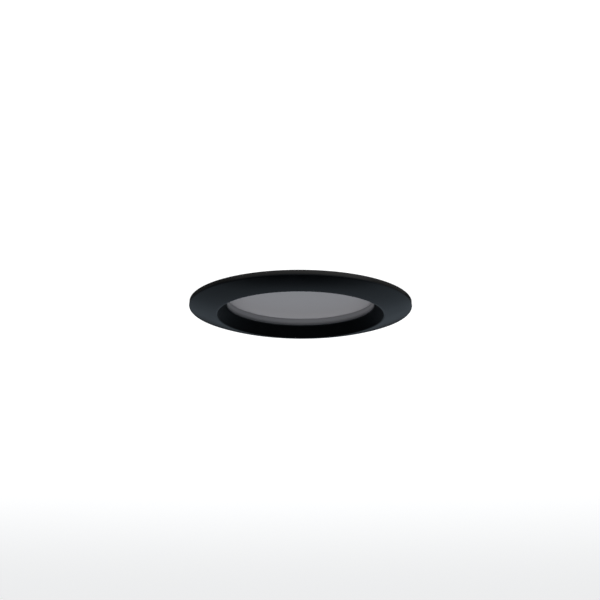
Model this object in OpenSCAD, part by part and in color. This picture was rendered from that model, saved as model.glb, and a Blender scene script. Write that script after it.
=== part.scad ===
// Recessed soffit downlight: a black trim ring with a set-back opal window, a finned
// die-cast can behind it, the driver in a sealed rear chamber, and two sprung side clips.
// All sizes are in millimetres. The soffit's underside is z = 0, the room is below it
// and the void above. The clips stand on the X axis.

/* [Window] */
// Diameter of the bright window, seen through the trim
window_d = 59.4; // [52:0.2:72]
// Depth of the window's tray, from its foot to its flat face
tray_depth = 2.9; // [1.5:0.1:4]
// Thickness of the opal sheet
window_t = 1.6; // [1:0.1:2.5]
// Wall of the tray
tray_wall = 1.5; // [1:0.1:2.5]
// Width of the foot that clamps the tray
foot_w = 1.0; // [0.8:0.1:2]
// Thickness of the foot
foot_t = 1.4; // [1:0.1:2]
// Thickness of the seal under the foot
seal_t = 0.5; // [0.4:0.1:1]

/* [Trim ring] */
// How far the flange reaches past the can
flange_reach = 8.5; // [7.5:0.5:18]
// Height of the flange's outer edge
edge_h = 1.9; // [1.4:0.05:3]
// Depth of the trim below the soffit, at the crest of its lip
trim_drop = 5.0; // [4.6:0.05:9]
// Radius of the lip's rounding
lip_r = 1.2; // [1:0.1:2.4]
// Distance from the window's edge out to the crest of the lip
crest_out = 4.5; // [4.2:0.05:7]
// Radius of the crowned face, in section
face_r = 58; // [34:1:90]
// Rounding of the flange's outer corner
edge_round = 0.5; // [0.2:0.05:0.6]
// Wall of the collar that centres the can
collar_t = 0.8; // [0.6:0.1:1.5]
// Height of that collar above the soffit line
collar_h = 1.4; // [1:0.1:2.5]
// Width of the soffit gasket
gasket_w = 5.2; // [3:0.1:5.6]
// Thickness of the gasket when it is clamped
gasket_t = 0.8; // [0.5:0.1:0.9]

/* [Can] */
// Wall of the skirt, which fills the hole in the soffit
skirt_wall = 3.2; // [3.1:0.1:5]
// Height of the skirt above the soffit line
skirt_h = 8.5; // [8.4:0.1:12]
// How far the fins stand out from the can
fin_depth = 6.5; // [5:0.1:7]
// How far the fins' outer edges stand back from the skirt's wall
fin_back = 0.5; // [0.3:0.1:1]
// Fins round a full circle, some of which the clips replace
fin_count = 36; // [20:4:40]
// Thickness of a fin where it meets the can
fin_root = 1.8; // [1.4:0.1:2.4]
// Thickness of a fin at its outer edge
fin_tip = 1.2; // [0.8:0.1:1.6]
// Wall between the driver chamber and the fins' roots
chamber_wall = 6.5; // [5.5:0.1:7.5]
// Height of the space in front of the light-emitting board
mixing_h = 8.7; // [8.2:0.1:12]
// Thickness of the plate that takes the heat
plate_t = 4; // [3.6:0.1:8]
// Depth of the driver chamber
chamber_h = 18.9; // [17.6:0.1:30]
// Thickness of the rear cover
cover_t = 2.5; // [2.2:0.1:4]

/* [Light engine] */
// Thickness of the light-emitting board
board_t = 1.6; // [1:0.1:2]
// Thickness of the heat-conducting pad
pad_t = 0.5; // [0.5:0.1:1]
// Wall of the white reflector ring
reflector_wall = 0.7; // [0.5:0.1:0.9]
// Emitters in the outer ring
outer_emitters = 12; // [6:6:12]
// Emitters in the inner ring
inner_emitters = 6; // [3:3:6]

/* [Spring clips] */
// Width of a clip arm
clip_w = 10; // [9:0.2:11]
// Reach of a clip arm from its pivot to the start of its turned-up tip
clip_reach = 24; // [18:0.5:25]
// Angle of a free clip arm below level
clip_rest = 19; // [10:1:20]
// Angle by which an arm bends up past its channel
clip_bend = 5; // [3:1:8]
// Thickness of the arm's sheet
arm_t = 0.8; // [0.6:0.1:1]
// Thickness of the bracket's sheet
bracket_t = 1.0; // [0.8:0.1:1.2]
// Diameter of the pivot pin
pin_d = 2.2; // [1.8:0.1:2.4]
// Diameter of the spring wire
wire_d = 0.8; // [0.6:0.05:0.85]
// Radius of the spring's coil, at the middle of its wire
coil_r = 1.9; // [1.85:0.05:2.1]
// Whole turns of the spring
coil_turns = 5; // [3:1:5]
// Step of the coil along its pin
coil_pitch = 1.3; // [1.28:0.01:1.34]
// Wall of the soft sleeve on an arm's tip
sleeve_wall = 0.7; // [0.4:0.1:0.8]

/* [Driver] */
// Wall of the insulating liner
liner_wall = 0.9; // [0.7:0.1:1.2]
// Space under the driver board
board_lift = 4.0; // [3:0.1:5]
// Thickness of the driver board
driver_board_t = 1.6; // [1:0.1:2]

/* [Cable gland] */
// Diameter of the cable that the gland takes
cable_d = 6.4; // [4:0.1:7]
// Width across the flats of the gland's hexagons
gland_flats = 15; // [15:0.5:18]
// Height of the gland's clamping nut
gland_nut_h = 10; // [9:0.5:14]

/* [Fasteners] */
// Diameter of the screws that hold the trim to the can
trim_screw_d = 2.0; // [1.6:0.1:2.1]
// Diameter of the rear cover and clip screws
cover_screw_d = 3.0; // [2.4:0.1:3]
// Reach of a screw's thread into its casting
screw_bite = 3.2; // [2.4:0.1:3.4]

/* [Fits] */
// Gap between pieces that slide together
fit_gap = 0.1; // [0.05:0.01:0.15]
// Gap round a screw in its hole
screw_gap = 0.1; // [0.05:0.01:0.15]
// Gap round the pin in the arm that turns on it
pin_gap = 0.08; // [0.05:0.01:0.1]

/* [Hidden] */
$fn = 96;

black = [0.05, 0.05, 0.055];
casting = [0.62, 0.63, 0.64];
zinc = [0.72, 0.73, 0.75];
spring_steel = [0.5, 0.52, 0.55];
rubber = [0.12, 0.12, 0.12];
opal = [0.86, 0.87, 0.88];
white = [0.95, 0.95, 0.93];
laminate = [0.1, 0.38, 0.2];
nylon = [0.16, 0.16, 0.17];
cut = 1; // how far a cut runs past the face that it opens
hole_spare = 0.4; // how far a screw's hole runs on past the screw's end
cover_bite = screw_bite + 1.6; // reach of the rear cover's screws into the can
lock_nut_h = 2.8; // height of the gland's lock nut, under the rear cover

// ---- Radii, worked out from the window to the flange ----
window_r = window_d / 2;
tray_r = window_r + tray_wall;
foot_r = tray_r + foot_w;
pocket_r = foot_r + 0.2;
collar_r = pocket_r + collar_t;
counterbore_r = collar_r + fit_gap;
can_r = counterbore_r + skirt_wall;
flange_r = can_r + flange_reach;
throat_r = window_r + 0.2;
crest_r = window_r + crest_out;
core_r = can_r - fin_depth;
chamber_r = core_r - chamber_wall;
fin_r = can_r - fin_back;
board_r = core_r - 5;
gasket_out_r = flange_r - 1.3;
gasket_in_r = gasket_out_r - gasket_w;
trim_screw_r = counterbore_r + skirt_wall / 2 - 0.15;
cover_r = core_r - 0.4;
cover_screw_r = core_r - 3;

// ---- Heights, from the room up into the void ----
can_seat_z = -0.4;
foot_z = -0.2;
ledge_z = foot_z - seal_t;
foot_top_z = foot_z + foot_t;
window_z = foot_z + tray_depth;
window_top_z = window_z + window_t;
board_z = window_top_z + mixing_h;
pad_z = board_z + board_t;
plate_z = pad_z + pad_t;
chamber_z = plate_z + plate_t;
rim_z = chamber_z + chamber_h;
cover_z = rim_z + cover_t;

// ---- Clip, from the spring's coil outwards ----
coil_out = coil_r + wire_d / 2;
seat_gap = 0.05;
channel_top = -(coil_out + seat_gap); // upper face of the arm's channel, from the pivot
channel_mid = channel_top - arm_t / 2;
channel_low = channel_top - arm_t;
channel_start = 0.5;
channel_end = 8;
stop_reach = channel_start + 0.3; // how far along the arm the stop reaches
ear_r = 2.0;
pivot_lift = 5; // from the skirt's top up to the pivot
bracket_rise = 8.5; // from the pivot up to the bracket's top
bracket_ear_r = ear_r + 0.2;
bracket_w = clip_w + 2 * (0.3 + bracket_t);
pivot_x = sqrt(can_r ^ 2 - (clip_w / 2) ^ 2) + channel_low;
bracket_face_x = pivot_x - coil_out - 2 * seat_gap;
pad_x = bracket_face_x - bracket_t;
pivot_z = skirt_h + pivot_lift;
// The near corner of the channel, turned to the rest angle, sits on the bracket's stop
stop_x = pivot_x + stop_reach * cos(clip_rest) + channel_low * sin(clip_rest);
stop_z = pivot_z - stop_reach * sin(clip_rest) + channel_low * cos(clip_rest) - seat_gap;
bracket_low = stop_z - bracket_t;
bracket_high = pivot_z + bracket_rise;
bracket_screw_z = bracket_high - 2.9;
tip_r = 3; // radius of the turned-up tip
tip_turn = 55; // angle that the tip turns through

// ---- Screw and lead places ----
trim_screw_angles = [45, 135, 225, 315];
cover_screw_angles = [45, 135, 225, 315];
board_screw_angles = [90, 210, 330];
board_screw_r = board_r - 4.3;
lead_r = 0.65;
lead_y = 1.5;
lead_bend = 2.2;
connector_x = 6;
connector_size = [5.5, 6.4, 2.4];
lead_z = board_z - connector_size[2] / 2 - 0.2;
grommet_r = 2.95;
grommet_lip_r = 4.2;
driver_z = chamber_z + 0.9 + board_lift;
parts_z = driver_z + driver_board_t;

// ---- Small helpers ----
function arc_points(centre, r, from, to, steps) =
    [for (i = [0:steps]) let (a = from + (to - from) * i / steps) centre + r * [cos(a), sin(a)]];

function heading(v) = atan2(v[1], v[0]);

// The point at distance r1 from c1 and r2 from c2, on the left of the line from c1 to c2
function meet(c1, r1, c2, r2) =
    let (d = norm(c2 - c1), along = (d ^ 2 + r1 ^ 2 - r2 ^ 2) / (2 * d),
         side = sqrt(r1 ^ 2 - along ^ 2), u = (c2 - c1) / d)
    c1 + along * u + side * [-u[1], u[0]];

// Directions along an open line of points, and the same line moved sideways
function steps_of(path) = [for (i = [0:len(path) - 2]) let (v = path[i + 1] - path[i]) v / norm(v)];
function mitre(path, i) =
    let (s = steps_of(path), a = s[max(i - 1, 0)], b = s[min(i, len(s) - 1)], m = (a + b) / norm(a + b))
    [-m[1], m[0]] / (m * b);
function moved_aside(path, by) = [for (i = [0:len(path) - 1]) path[i] + by * mitre(path, i)];
function reversed(list) = [for (i = [len(list) - 1:-1:0]) list[i]];

module band(path, half) {
    polygon(concat(moved_aside(path, half), reversed(moved_aside(path, -half))));
}

module ring(inner_r, outer_r, low, high) {
    translate([0, 0, low])
        difference() {
            cylinder(r = outer_r, h = high - low);
            translate([0, 0, -cut]) cylinder(r = inner_r, h = high - low + 2 * cut);
        }
}

module round_bar(r, low, high) {
    translate([0, 0, low]) cylinder(r = r, h = high - low);
}

module at_angles(angles, r) {
    for (a = angles) rotate([0, 0, a]) translate([r, 0, 0]) children();
}

// Extrudes an outline drawn in X and Z along Y, centred on the X axis
module across(width) {
    rotate([90, 0, 0]) linear_extrude(height = width, center = true) children();
}

module hexagon(flats, low, high) {
    translate([0, 0, low]) rotate([0, 0, 30]) cylinder(d = flats / cos(30), h = high - low, $fn = 6);
}

// A pan-head screw along Z, its head's seat at z = 0 and its shank below
module screw(d, length, head = 1.8) {
    head_h = 0.7 * d;
    translate([0, 0, -length]) cylinder(d = d, h = length, $fn = 32);
    rotate_extrude($fn = 48)
        polygon(concat([[0, 0], [head / 2 * d, 0], [head / 2 * d, head_h * 0.45]],
                       arc_points([0, head_h - 1.6 * d], 1.6 * d, 66, 90, 4)));
}

// ---- Trim ring ----
// The crowned face is one arc that starts at the rounded edge and runs into the rounded lip
lip_centre = [crest_r, -trim_drop + lip_r];
face_centre = meet(lip_centre, face_r - lip_r, [flange_r, -edge_h], face_r);
edge_centre = let (r = flange_r - edge_round, reach = r - face_centre[0])
    [r, face_centre[1] - sqrt((face_r - edge_round) ^ 2 - reach ^ 2)];
throat = [throat_r, ledge_z];
lip_out_angle = heading(lip_centre - face_centre);
lip_in_angle = heading(throat - lip_centre) - 360 + acos(lip_r / norm(throat - lip_centre));

module bezel() {
    front = concat(
        arc_points(edge_centre, edge_round, 0, heading(edge_centre - face_centre), 4),
        arc_points(face_centre, face_r, heading(edge_centre - face_centre), lip_out_angle, 14),
        arc_points(lip_centre, lip_r, lip_out_angle, lip_in_angle, 10),
        [throat]);
    back = [
        [pocket_r, ledge_z], [pocket_r, collar_h], [collar_r, collar_h], [collar_r, can_seat_z],
        [gasket_in_r, can_seat_z], [gasket_in_r, -gasket_t], [gasket_out_r, -gasket_t],
        [gasket_out_r, 0], [flange_r, 0]
    ];
    color(black)
        difference() {
            rotate_extrude($fn = 128) polygon(concat(front, back));
            at_angles(trim_screw_angles, trim_screw_r)
                round_bar((trim_screw_d + screw_gap) / 2, can_seat_z - screw_bite - hole_spare, can_seat_z + cut);
        }
}

module soffit_gasket() {
    color(rubber) ring(gasket_in_r, gasket_out_r, -gasket_t, 0);
}

// ---- Window ----
module diffuser_seal() {
    color(rubber) ring(window_r + 0.6, foot_r, ledge_z, foot_z);
}

module diffuser() {
    color(opal)
        rotate_extrude()
            polygon([
                [0, window_z], [window_r, window_z], [window_r, foot_z], [foot_r, foot_z],
                [foot_r, foot_top_z], [tray_r, foot_top_z], [tray_r, window_top_z], [0, window_top_z]
            ]);
}

// ---- Light engine ----
// The reflector runs straight past the window's tray, slopes in, and runs straight to the board
slope_out = [tray_r + 0.2 + reflector_wall, window_top_z + 0.4 + reflector_wall / 2];
slope_in = [board_r - 1.4 + reflector_wall, board_z - 3 + reflector_wall / 2];
function slope_z(r) = slope_out[1] + (slope_out[0] - r) * (slope_in[1] - slope_out[1]) / (slope_out[0] - slope_in[0]);

module reflector() {
    wall = reflector_wall;
    color(white)
        rotate_extrude()
            polygon([
                [slope_out[0] - wall, foot_top_z], [slope_out[0], foot_top_z], slope_out, slope_in,
                [slope_in[0], board_z], [slope_in[0] - wall, board_z],
                slope_in - wall * [1, 0.5], slope_out - wall * [1, 0.5]
            ]);
}

module board_drillings() {
    round_bar(3.5, board_z - cut, plate_z + cut);
    at_angles(board_screw_angles, board_screw_r)
        round_bar((cover_screw_d + 2 * screw_gap) / 2, board_z - cut, plate_z + cut);
}

module led_board() {
    color(white)
        difference() {
            round_bar(board_r, board_z, pad_z);
            board_drillings();
        }
}

package = [2.8, 3.5, 0.7];
inner_ring_r = connector_x + connector_size[0];
outer_ring_r = board_r - 2 * package[0] - 1;

module emitter_ring(r, count) {
    for (i = [0:count - 1])
        rotate([0, 0, (i + 0.5) * 360 / count])
            translate([r - package[0] / 2, -package[1] / 2, board_z - package[2]]) cube(package);
}

module led_packages() {
    color([0.95, 0.85, 0.35]) {
        emitter_ring(outer_ring_r, outer_emitters);
        emitter_ring(inner_ring_r, inner_emitters);
    }
}

module led_connector() {
    color(white)
        difference() {
            translate([connector_x, -connector_size[1] / 2, board_z - connector_size[2]]) cube(connector_size);
            for (side = [-1, 1])
                translate([connector_x - cut, side * lead_y, lead_z])
                    rotate([0, 90, 0]) cylinder(r = lead_r + screw_gap / 2, h = 3 + cut, $fn = 24);
        }
}

module led_board_screws() {
    color(zinc)
        at_angles(board_screw_angles, board_screw_r)
            translate([0, 0, board_z]) mirror([0, 0, 1]) screw(cover_screw_d, plate_z - board_z + screw_bite - hole_spare);
}

module thermal_pad() {
    color([0.6, 0.65, 0.75])
        difference() {
            round_bar(board_r - 0.5, pad_z, plate_z);
            round_bar(grommet_lip_r + 0.4, pad_z - cut, plate_z + cut);
            board_drillings();
        }
}

// ---- Die-cast can ----
module fin_outline() {
    inner = core_r - 1;
    outer = fin_r + 1;
    polygon([[inner, -fin_root / 2], [outer, -fin_tip / 2], [outer, fin_tip / 2], [inner, fin_root / 2]]);
}

fin_crown = fin_depth - fin_back; // rounding of the fins' top corners

// Angles of the fins that stay clear of the two clip channels
channel_half = bracket_w / 2 + 2.2;
fin_angles = [for (i = [0:fin_count - 1]) let (a = 360 / fin_count * i)
              if (core_r * abs(sin(a)) > channel_half + fin_root / 2 - 0.6) a];

module fins() {
    intersection() {
        rotate_extrude()
            polygon(concat(
                [[core_r - 1, skirt_h - 1], [fin_r, skirt_h - 1], [fin_r, rim_z - fin_crown - 2]],
                arc_points([fin_r - fin_crown, rim_z - fin_crown - 2], fin_crown, 0, 90, 8),
                [[core_r - 1, rim_z - 2]]));
        for (a = fin_angles) rotate([0, 0, a]) linear_extrude(height = rim_z) fin_outline();
    }
}

// A flat seat for each clip's bracket, which also makes room for the folded arm
pad_w = bracket_w + 1.4;

module clip_pads() {
    for (side = [0, 180])
        rotate([0, 0, side])
            translate([chamber_r + 2, -pad_w / 2, skirt_h - 1])
                cube([pad_x - chamber_r - 2, pad_w, bracket_high + 1.4 - skirt_h]);
}

module clip_flats() {
    for (side = [0, 180])
        rotate([0, 0, side]) translate([pad_x, -pad_w / 2, skirt_h]) cube([can_r, pad_w, rim_z]);
}

module light_cavity() {
    reflector_gap = 0.4;
    neck_r = board_r + 0.3;
    rotate_extrude()
        polygon([
            [0, can_seat_z - cut], [counterbore_r, can_seat_z - cut], [counterbore_r, collar_h + 0.2],
            [pocket_r, collar_h + 0.2], [pocket_r, slope_z(pocket_r) + reflector_gap],
            [neck_r, slope_z(neck_r) + reflector_gap], [neck_r, plate_z], [0, plate_z]
        ]);
}

module heat_sink() {
    fillet = 1.2;
    color(casting)
        difference() {
            union() {
                rotate_extrude()
                    polygon(concat(
                        [[0, can_seat_z], [can_r, can_seat_z], [can_r, skirt_h]],
                        reversed(arc_points([core_r + fillet, skirt_h + fillet], fillet, 180, 270, 4)),
                        [[core_r, rim_z - 0.5], [core_r - 0.5, rim_z], [0, rim_z]]));
                fins();
                clip_pads();
            }
            clip_flats();
            light_cavity();
            round_bar(chamber_r, chamber_z, rim_z + cut);
            ring(chamber_r + 0.6, chamber_r + 1.6, rim_z - 0.8, rim_z + cut);
            round_bar(grommet_r + fit_gap / 2, plate_z - cut, chamber_z + cut);
            at_angles(board_screw_angles, board_screw_r)
                round_bar((cover_screw_d + screw_gap) / 2, plate_z - cut, plate_z + screw_bite);
            at_angles(trim_screw_angles, trim_screw_r)
                round_bar((trim_screw_d + screw_gap) / 2, can_seat_z - cut, skirt_h + cut);
            at_angles(cover_screw_angles, cover_screw_r)
                round_bar((cover_screw_d + screw_gap) / 2, rim_z - cover_bite - hole_spare, rim_z + cut);
            for (side = [0, 180])
                rotate([0, 0, side])
                    translate([pad_x - screw_bite, 0, bracket_screw_z])
                        rotate([0, 90, 0]) cylinder(d = cover_screw_d + screw_gap, h = screw_bite + cut, $fn = 32);
        }
}

module bezel_screws() {
    color(zinc)
        at_angles(trim_screw_angles, trim_screw_r)
            translate([0, 0, skirt_h]) screw(trim_screw_d, skirt_h - can_seat_z + screw_bite);
}

// ---- Leads from the driver to the light-emitting board ----
module lead_grommet() {
    lip_t = 0.45;
    color(rubber)
        difference() {
            union() {
                round_bar(grommet_r, plate_z - lip_t, chamber_z + lip_t);
                round_bar(grommet_lip_r, plate_z - lip_t, plate_z);
                round_bar(grommet_lip_r, chamber_z, chamber_z + lip_t);
            }
            for (side = [-1, 1])
                translate([0, side * lead_y, 0])
                    round_bar(lead_r + screw_gap / 2, plate_z - lip_t - cut, chamber_z + lip_t + cut);
        }
}

// Down from the driver board, through the grommet, and round one bend into the connector
module led_lead(side) {
    translate([0, side * lead_y, 0]) {
        translate([0, 0, lead_z + lead_bend]) cylinder(r = lead_r, h = driver_z - lead_z - lead_bend, $fn = 24);
        translate([lead_bend, 0, lead_z + lead_bend])
            rotate([90, 0, 0]) rotate([0, 0, 180])
                rotate_extrude(angle = 90, $fn = 48) translate([lead_bend, 0]) circle(r = lead_r, $fn = 24);
        translate([lead_bend, 0, lead_z])
            rotate([0, 90, 0]) cylinder(r = lead_r, h = connector_x + 2.8 - lead_bend, $fn = 24);
    }
}

module led_lead_positive() {
    color([0.75, 0.08, 0.06]) led_lead(1);
}

module led_lead_negative() {
    color([0.08, 0.08, 0.09]) led_lead(-1);
}

// ---- Driver ----
liner_r = chamber_r - 0.2;
liner_in = liner_r - liner_wall;
liner_floor = chamber_z + 0.9;
driver_board_r = liner_in - 0.3;
rectifier_size = [7, 6, 2.6];
capacitor_r = 5;
capacitor_h = 8.5;
capacitor_edge = 0.6;
drum_r = 5.5;
drum_neck_r = 4;
drum_h = 7.5;
drum_flange = 1.4;
ic_size = [5, 4, 1.6];

module driver_liner() {
    color([0.9, 0.88, 0.8])
        difference() {
            round_bar(liner_r, chamber_z + 0.05, rim_z - 2.2);
            round_bar(liner_in, driver_z, rim_z);
            round_bar(liner_in - 2, liner_floor, rim_z);
            round_bar(grommet_lip_r + 0.3, chamber_z - cut, rim_z);
        }
}

module driver_board() {
    color(laminate) round_bar(driver_board_r, driver_z, parts_z);
}

module rectifier() {
    color(nylon) translate([-rectifier_size[0] / 2, -driver_board_r + 5, parts_z]) cube(rectifier_size);
}

module smoothing_capacitor() {
    r = capacitor_r;
    corner = [r - capacitor_edge, capacitor_h - capacitor_edge];
    color([0.15, 0.2, 0.4])
        translate([-driver_board_r + r + 4, -2, parts_z])
            rotate_extrude($fn = 48)
                polygon(concat([[0, 0], [r, 0]], arc_points(corner, capacitor_edge, 0, 90, 4), [[0, capacitor_h]]));
}

module power_inductor() {
    color([0.25, 0.25, 0.26])
        translate([driver_board_r - drum_r - 4, -3, parts_z])
            rotate_extrude($fn = 48)
                polygon([
                    [0, 0], [drum_r, 0], [drum_r, drum_flange], [drum_neck_r, drum_flange],
                    [drum_neck_r, drum_h - drum_flange], [drum_r, drum_h - drum_flange], [drum_r, drum_h], [0, drum_h]
                ]);
}

module driver_ic() {
    color(nylon) translate([-ic_size[0] / 2, -driver_board_r + 14, parts_z]) cube(ic_size);
}

terminal_size = [12, 9, 8];
terminal_y = driver_board_r - terminal_size[1] - 3.6;
terminal_ways = [-terminal_size[0] / 4, terminal_size[0] / 4];
terminal_entry_r = 1.7;
terminal_well_r = 1.8;
terminal_screw_h = 2.4;

module mains_terminal() {
    color([0.85, 0.86, 0.84])
        translate([0, terminal_y, parts_z])
            difference() {
                translate([-terminal_size[0] / 2, 0, 0]) cube(terminal_size);
                for (x = terminal_ways) {
                    translate([x, -cut, 3])
                        rotate([-90, 0, 0]) cylinder(r = terminal_entry_r, h = terminal_size[1] - 3 + cut, $fn = 32);
                    translate([x, terminal_size[1] / 2, 3]) cylinder(r = terminal_well_r, h = terminal_size[2], $fn = 32);
                }
            }
}

module terminal_screws() {
    color(zinc)
        translate([0, terminal_y + terminal_size[1] / 2, parts_z])
            for (x = terminal_ways)
                translate([x, 0, 5]) cylinder(r = terminal_well_r - 0.05, h = terminal_screw_h, $fn = 32);
}

// ---- Rear cover ----
gland_hole_r = 6.1;
cover_edge = 0.8;
spigot_t = 1.4;
spigot_h = 1.8;
hub_w = 2.4;
hub_h = 0.8;

module rear_cover() {
    spigot_r = chamber_r - 0.15;
    hub_r = gland_flats / 2 + hub_w;
    color(casting)
        difference() {
            rotate_extrude()
                polygon(concat(
                    [[0, rim_z], [spigot_r - spigot_t, rim_z], [spigot_r - spigot_t, rim_z - spigot_h],
                     [spigot_r, rim_z - spigot_h], [spigot_r, rim_z], [cover_r, rim_z]],
                    arc_points([cover_r - cover_edge, cover_z - cover_edge], cover_edge, 0, 90, 4),
                    [[hub_r + hub_h, cover_z], [hub_r, hub_z], [0, hub_z]]));
            round_bar(gland_hole_r, rim_z - cut, cover_z + 1 + cut);
            at_angles(cover_screw_angles, cover_screw_r)
                round_bar((cover_screw_d + 2 * screw_gap) / 2, rim_z - cut, cover_z + cut);
        }
}

module rear_cover_seal() {
    color(rubber) ring(chamber_r + 0.65, chamber_r + 1.55, rim_z - 0.8, rim_z);
}

module rear_cover_screws() {
    color(zinc)
        at_angles(cover_screw_angles, cover_screw_r)
            translate([0, 0, cover_z]) screw(cover_screw_d, cover_t + cover_bite);
}

// ---- Cable gland ----
washer_t = 0.8;
hub_z = cover_z + hub_h;
gland_z = hub_z + washer_t;
gland_hex_h = 4;
barrel_z = gland_z + gland_hex_h;
barrel_h = 6;
stem_r = gland_hole_r - fit_gap;
seal_r = stem_r - 1.3;
seal_sink = 0.5; // how far the seal sits below the barrel's foot
seal_rise = 1; // how far it stands above the barrel
cable_r = cable_d / 2;
cable_gap = 0.3;
thread_end = rim_z - lock_nut_h - 0.6;

module gland_washer() {
    color(rubber) ring(stem_r + fit_gap, gland_flats / 2 - 0.3, hub_z, gland_z);
}

module gland_body() {
    color(nylon)
        difference() {
            union() {
                round_bar(stem_r, thread_end, barrel_z + barrel_h);
                hexagon(gland_flats, gland_z, barrel_z);
            }
            round_bar(cable_r + cable_gap, thread_end - cut, barrel_z + cut);
            round_bar(seal_r, barrel_z - seal_sink, barrel_z + barrel_h + cut);
        }
}

module gland_seal() {
    color(rubber)
        difference() {
            rotate_extrude()
                polygon([
                    [0, barrel_z - seal_sink], [seal_r - fit_gap, barrel_z - seal_sink],
                    [seal_r - fit_gap, barrel_z + barrel_h],
                    [seal_r - 0.8, barrel_z + barrel_h + seal_rise], [0, barrel_z + barrel_h + seal_rise]
                ]);
            round_bar(cable_r, barrel_z - cut, barrel_z + barrel_h + seal_rise + cut);
        }
}

module gland_nut() {
    low = barrel_z + 0.4;
    high = low + gland_nut_h;
    crown_r = gland_flats / 2 - 0.6;
    dome = 3;
    color(nylon)
        difference() {
            union() {
                hexagon(gland_flats, low, low + 4.5);
                rotate_extrude()
                    polygon(concat([[0, low + 4], [crown_r, low + 4]],
                                   arc_points([crown_r - dome, high - dome], dome, 0, 90, 6), [[0, high]]));
            }
            round_bar(stem_r + fit_gap, low - cut, barrel_z + barrel_h + seal_rise + 0.2);
            round_bar(cable_r + 2 * cable_gap, low, high + cut);
        }
}

module gland_lock_nut() {
    color(nylon)
        difference() {
            hexagon(gland_flats, rim_z - lock_nut_h, rim_z);
            round_bar(stem_r + fit_gap / 2, rim_z - lock_nut_h - cut, rim_z + cut);
        }
}

// ---- Spring clips, drawn for the right side ----
module on_side(right) {
    rotate([0, 0, right ? 0 : 180]) children();
}

module at_pivot(turned = 0) {
    translate([pivot_x, 0, pivot_z]) rotate([0, turned, 0]) children();
}

module pin_bore(gap, width) {
    translate([pivot_x, 0, pivot_z])
        rotate([90, 0, 0]) cylinder(d = pin_d + gap, h = width + 2 * cut, center = true, $fn = 48);
}

// A folded channel against the can: base, two ears and the arm's stop
module clip_bracket() {
    bend = 1.2;
    half = bracket_w / 2;
    difference() {
        union() {
            intersection() {
                translate([0, 0, bracket_low]) linear_extrude(height = bracket_high - bracket_low)
                    difference() {
                        union() {
                            translate([pad_x + bend, -half]) square([can_r, bracket_w]);
                            translate([pad_x, -half + bend]) square([can_r, bracket_w - 2 * bend]);
                            for (s = [-1, 1]) translate([pad_x + bend, s * (half - bend)]) circle(r = bend, $fn = 32);
                        }
                        translate([bracket_face_x, -half + bracket_t]) square([can_r, bracket_w - 2 * bracket_t]);
                    }
                across(bracket_w + cut)
                    union() {
                        polygon([
                            [pad_x - cut, bracket_low], [bracket_face_x + 0.6, bracket_low],
                            [pivot_x + bracket_ear_r * 0.6, pivot_z - bracket_ear_r * 0.8],
                            [pivot_x, pivot_z + bracket_ear_r], [bracket_face_x + 0.4, pivot_z + bracket_ear_r + 2.4],
                            [bracket_face_x + 0.1, bracket_high], [pad_x - cut, bracket_high]
                        ]);
                        translate([pivot_x, pivot_z]) circle(r = bracket_ear_r, $fn = 48);
                    }
                translate([0, 0, bracket_high - half])
                    rotate([0, 90, 0])
                        linear_extrude(height = 2 * can_r)
                            union() {
                                circle(r = half, $fn = 96);
                                translate([0, -half]) square([bracket_high, bracket_w]);
                            }
            }
            translate([bracket_face_x - bracket_t / 2, -clip_w * 0.35, bracket_low])
                cube([stop_x - bracket_face_x + bracket_t / 2, clip_w * 0.7, bracket_t]);
        }
        pin_bore(0.05, bracket_w);
        translate([pad_x - cut, 0, bracket_screw_z])
            rotate([0, 90, 0]) cylinder(d = cover_screw_d + 2 * screw_gap, h = bracket_t + 2 * cut, $fn = 32);
    }
}

module clip_pin() {
    half = bracket_w / 2;
    translate([pivot_x, 0, pivot_z]) rotate([90, 0, 0]) {
        translate([0, 0, -half - 1.1]) cylinder(d = pin_d, h = bracket_w + 1.1, $fn = 48);
        translate([0, 0, half]) cylinder(d = pin_d + 1.6, h = 0.7, $fn = 48);
    }
}

// The arm's middle line past its channel: a slight rise, then the turned-up tip
arm_line = let (
    rise = (clip_reach - channel_end) * tan(clip_bend),
    tip_start = [clip_reach, channel_mid + rise],
    tip_centre = tip_start + tip_r * [-sin(clip_bend), cos(clip_bend)])
    concat([[channel_end - 0.5, channel_mid], [channel_end, channel_mid]],
           arc_points(tip_centre, tip_r, clip_bend - 90, clip_bend - 90 + tip_turn, 6));

sleeve_line = let (start = [for (p = arm_line) if (p[0] > channel_end + 1) p], first = start[0],
                   root = first - 7 * [cos(clip_bend), sin(clip_bend)])
    concat([root], start);

// The last point of a line carried on past its end
function carried_on(path, by) = let (s = steps_of(path)) concat(path, [path[len(path) - 1] + by * s[len(s) - 1]]);

module clip_arm() {
    ear_in = clip_w / 2 - arm_t;
    at_pivot(clip_rest)
        difference() {
            union() {
                intersection() {
                    rotate([0, 90, 0])
                        linear_extrude(height = channel_end)
                            difference() {
                                translate([-ear_r, -clip_w / 2]) square([ear_r - channel_low, clip_w]);
                                translate([-ear_r - cut, -ear_in]) square([ear_r + cut - channel_top, 2 * ear_in]);
                            }
                    across(clip_w + cut)
                        polygon([[channel_start, channel_low], [channel_end, channel_low], [channel_end, channel_top],
                                 [0, ear_r], [0, channel_mid]]);
                }
                for (s = [-1, 1])
                    translate([0, s * (clip_w / 2 - arm_t / 2), 0])
                        across(arm_t)
                            union() {
                                circle(r = ear_r, $fn = 48);
                                polygon([[channel_start, channel_low], [2, channel_low], [2, 0], [0, ear_r],
                                         [-ear_r * 0.9, -ear_r * 0.45]]);
                            }
                across(clip_w) band(arm_line, arm_t / 2);
            }
            rotate([90, 0, 0]) cylinder(d = pin_d + 2 * pin_gap, h = clip_w + 2 * cut, center = true, $fn = 48);
        }
}

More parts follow.
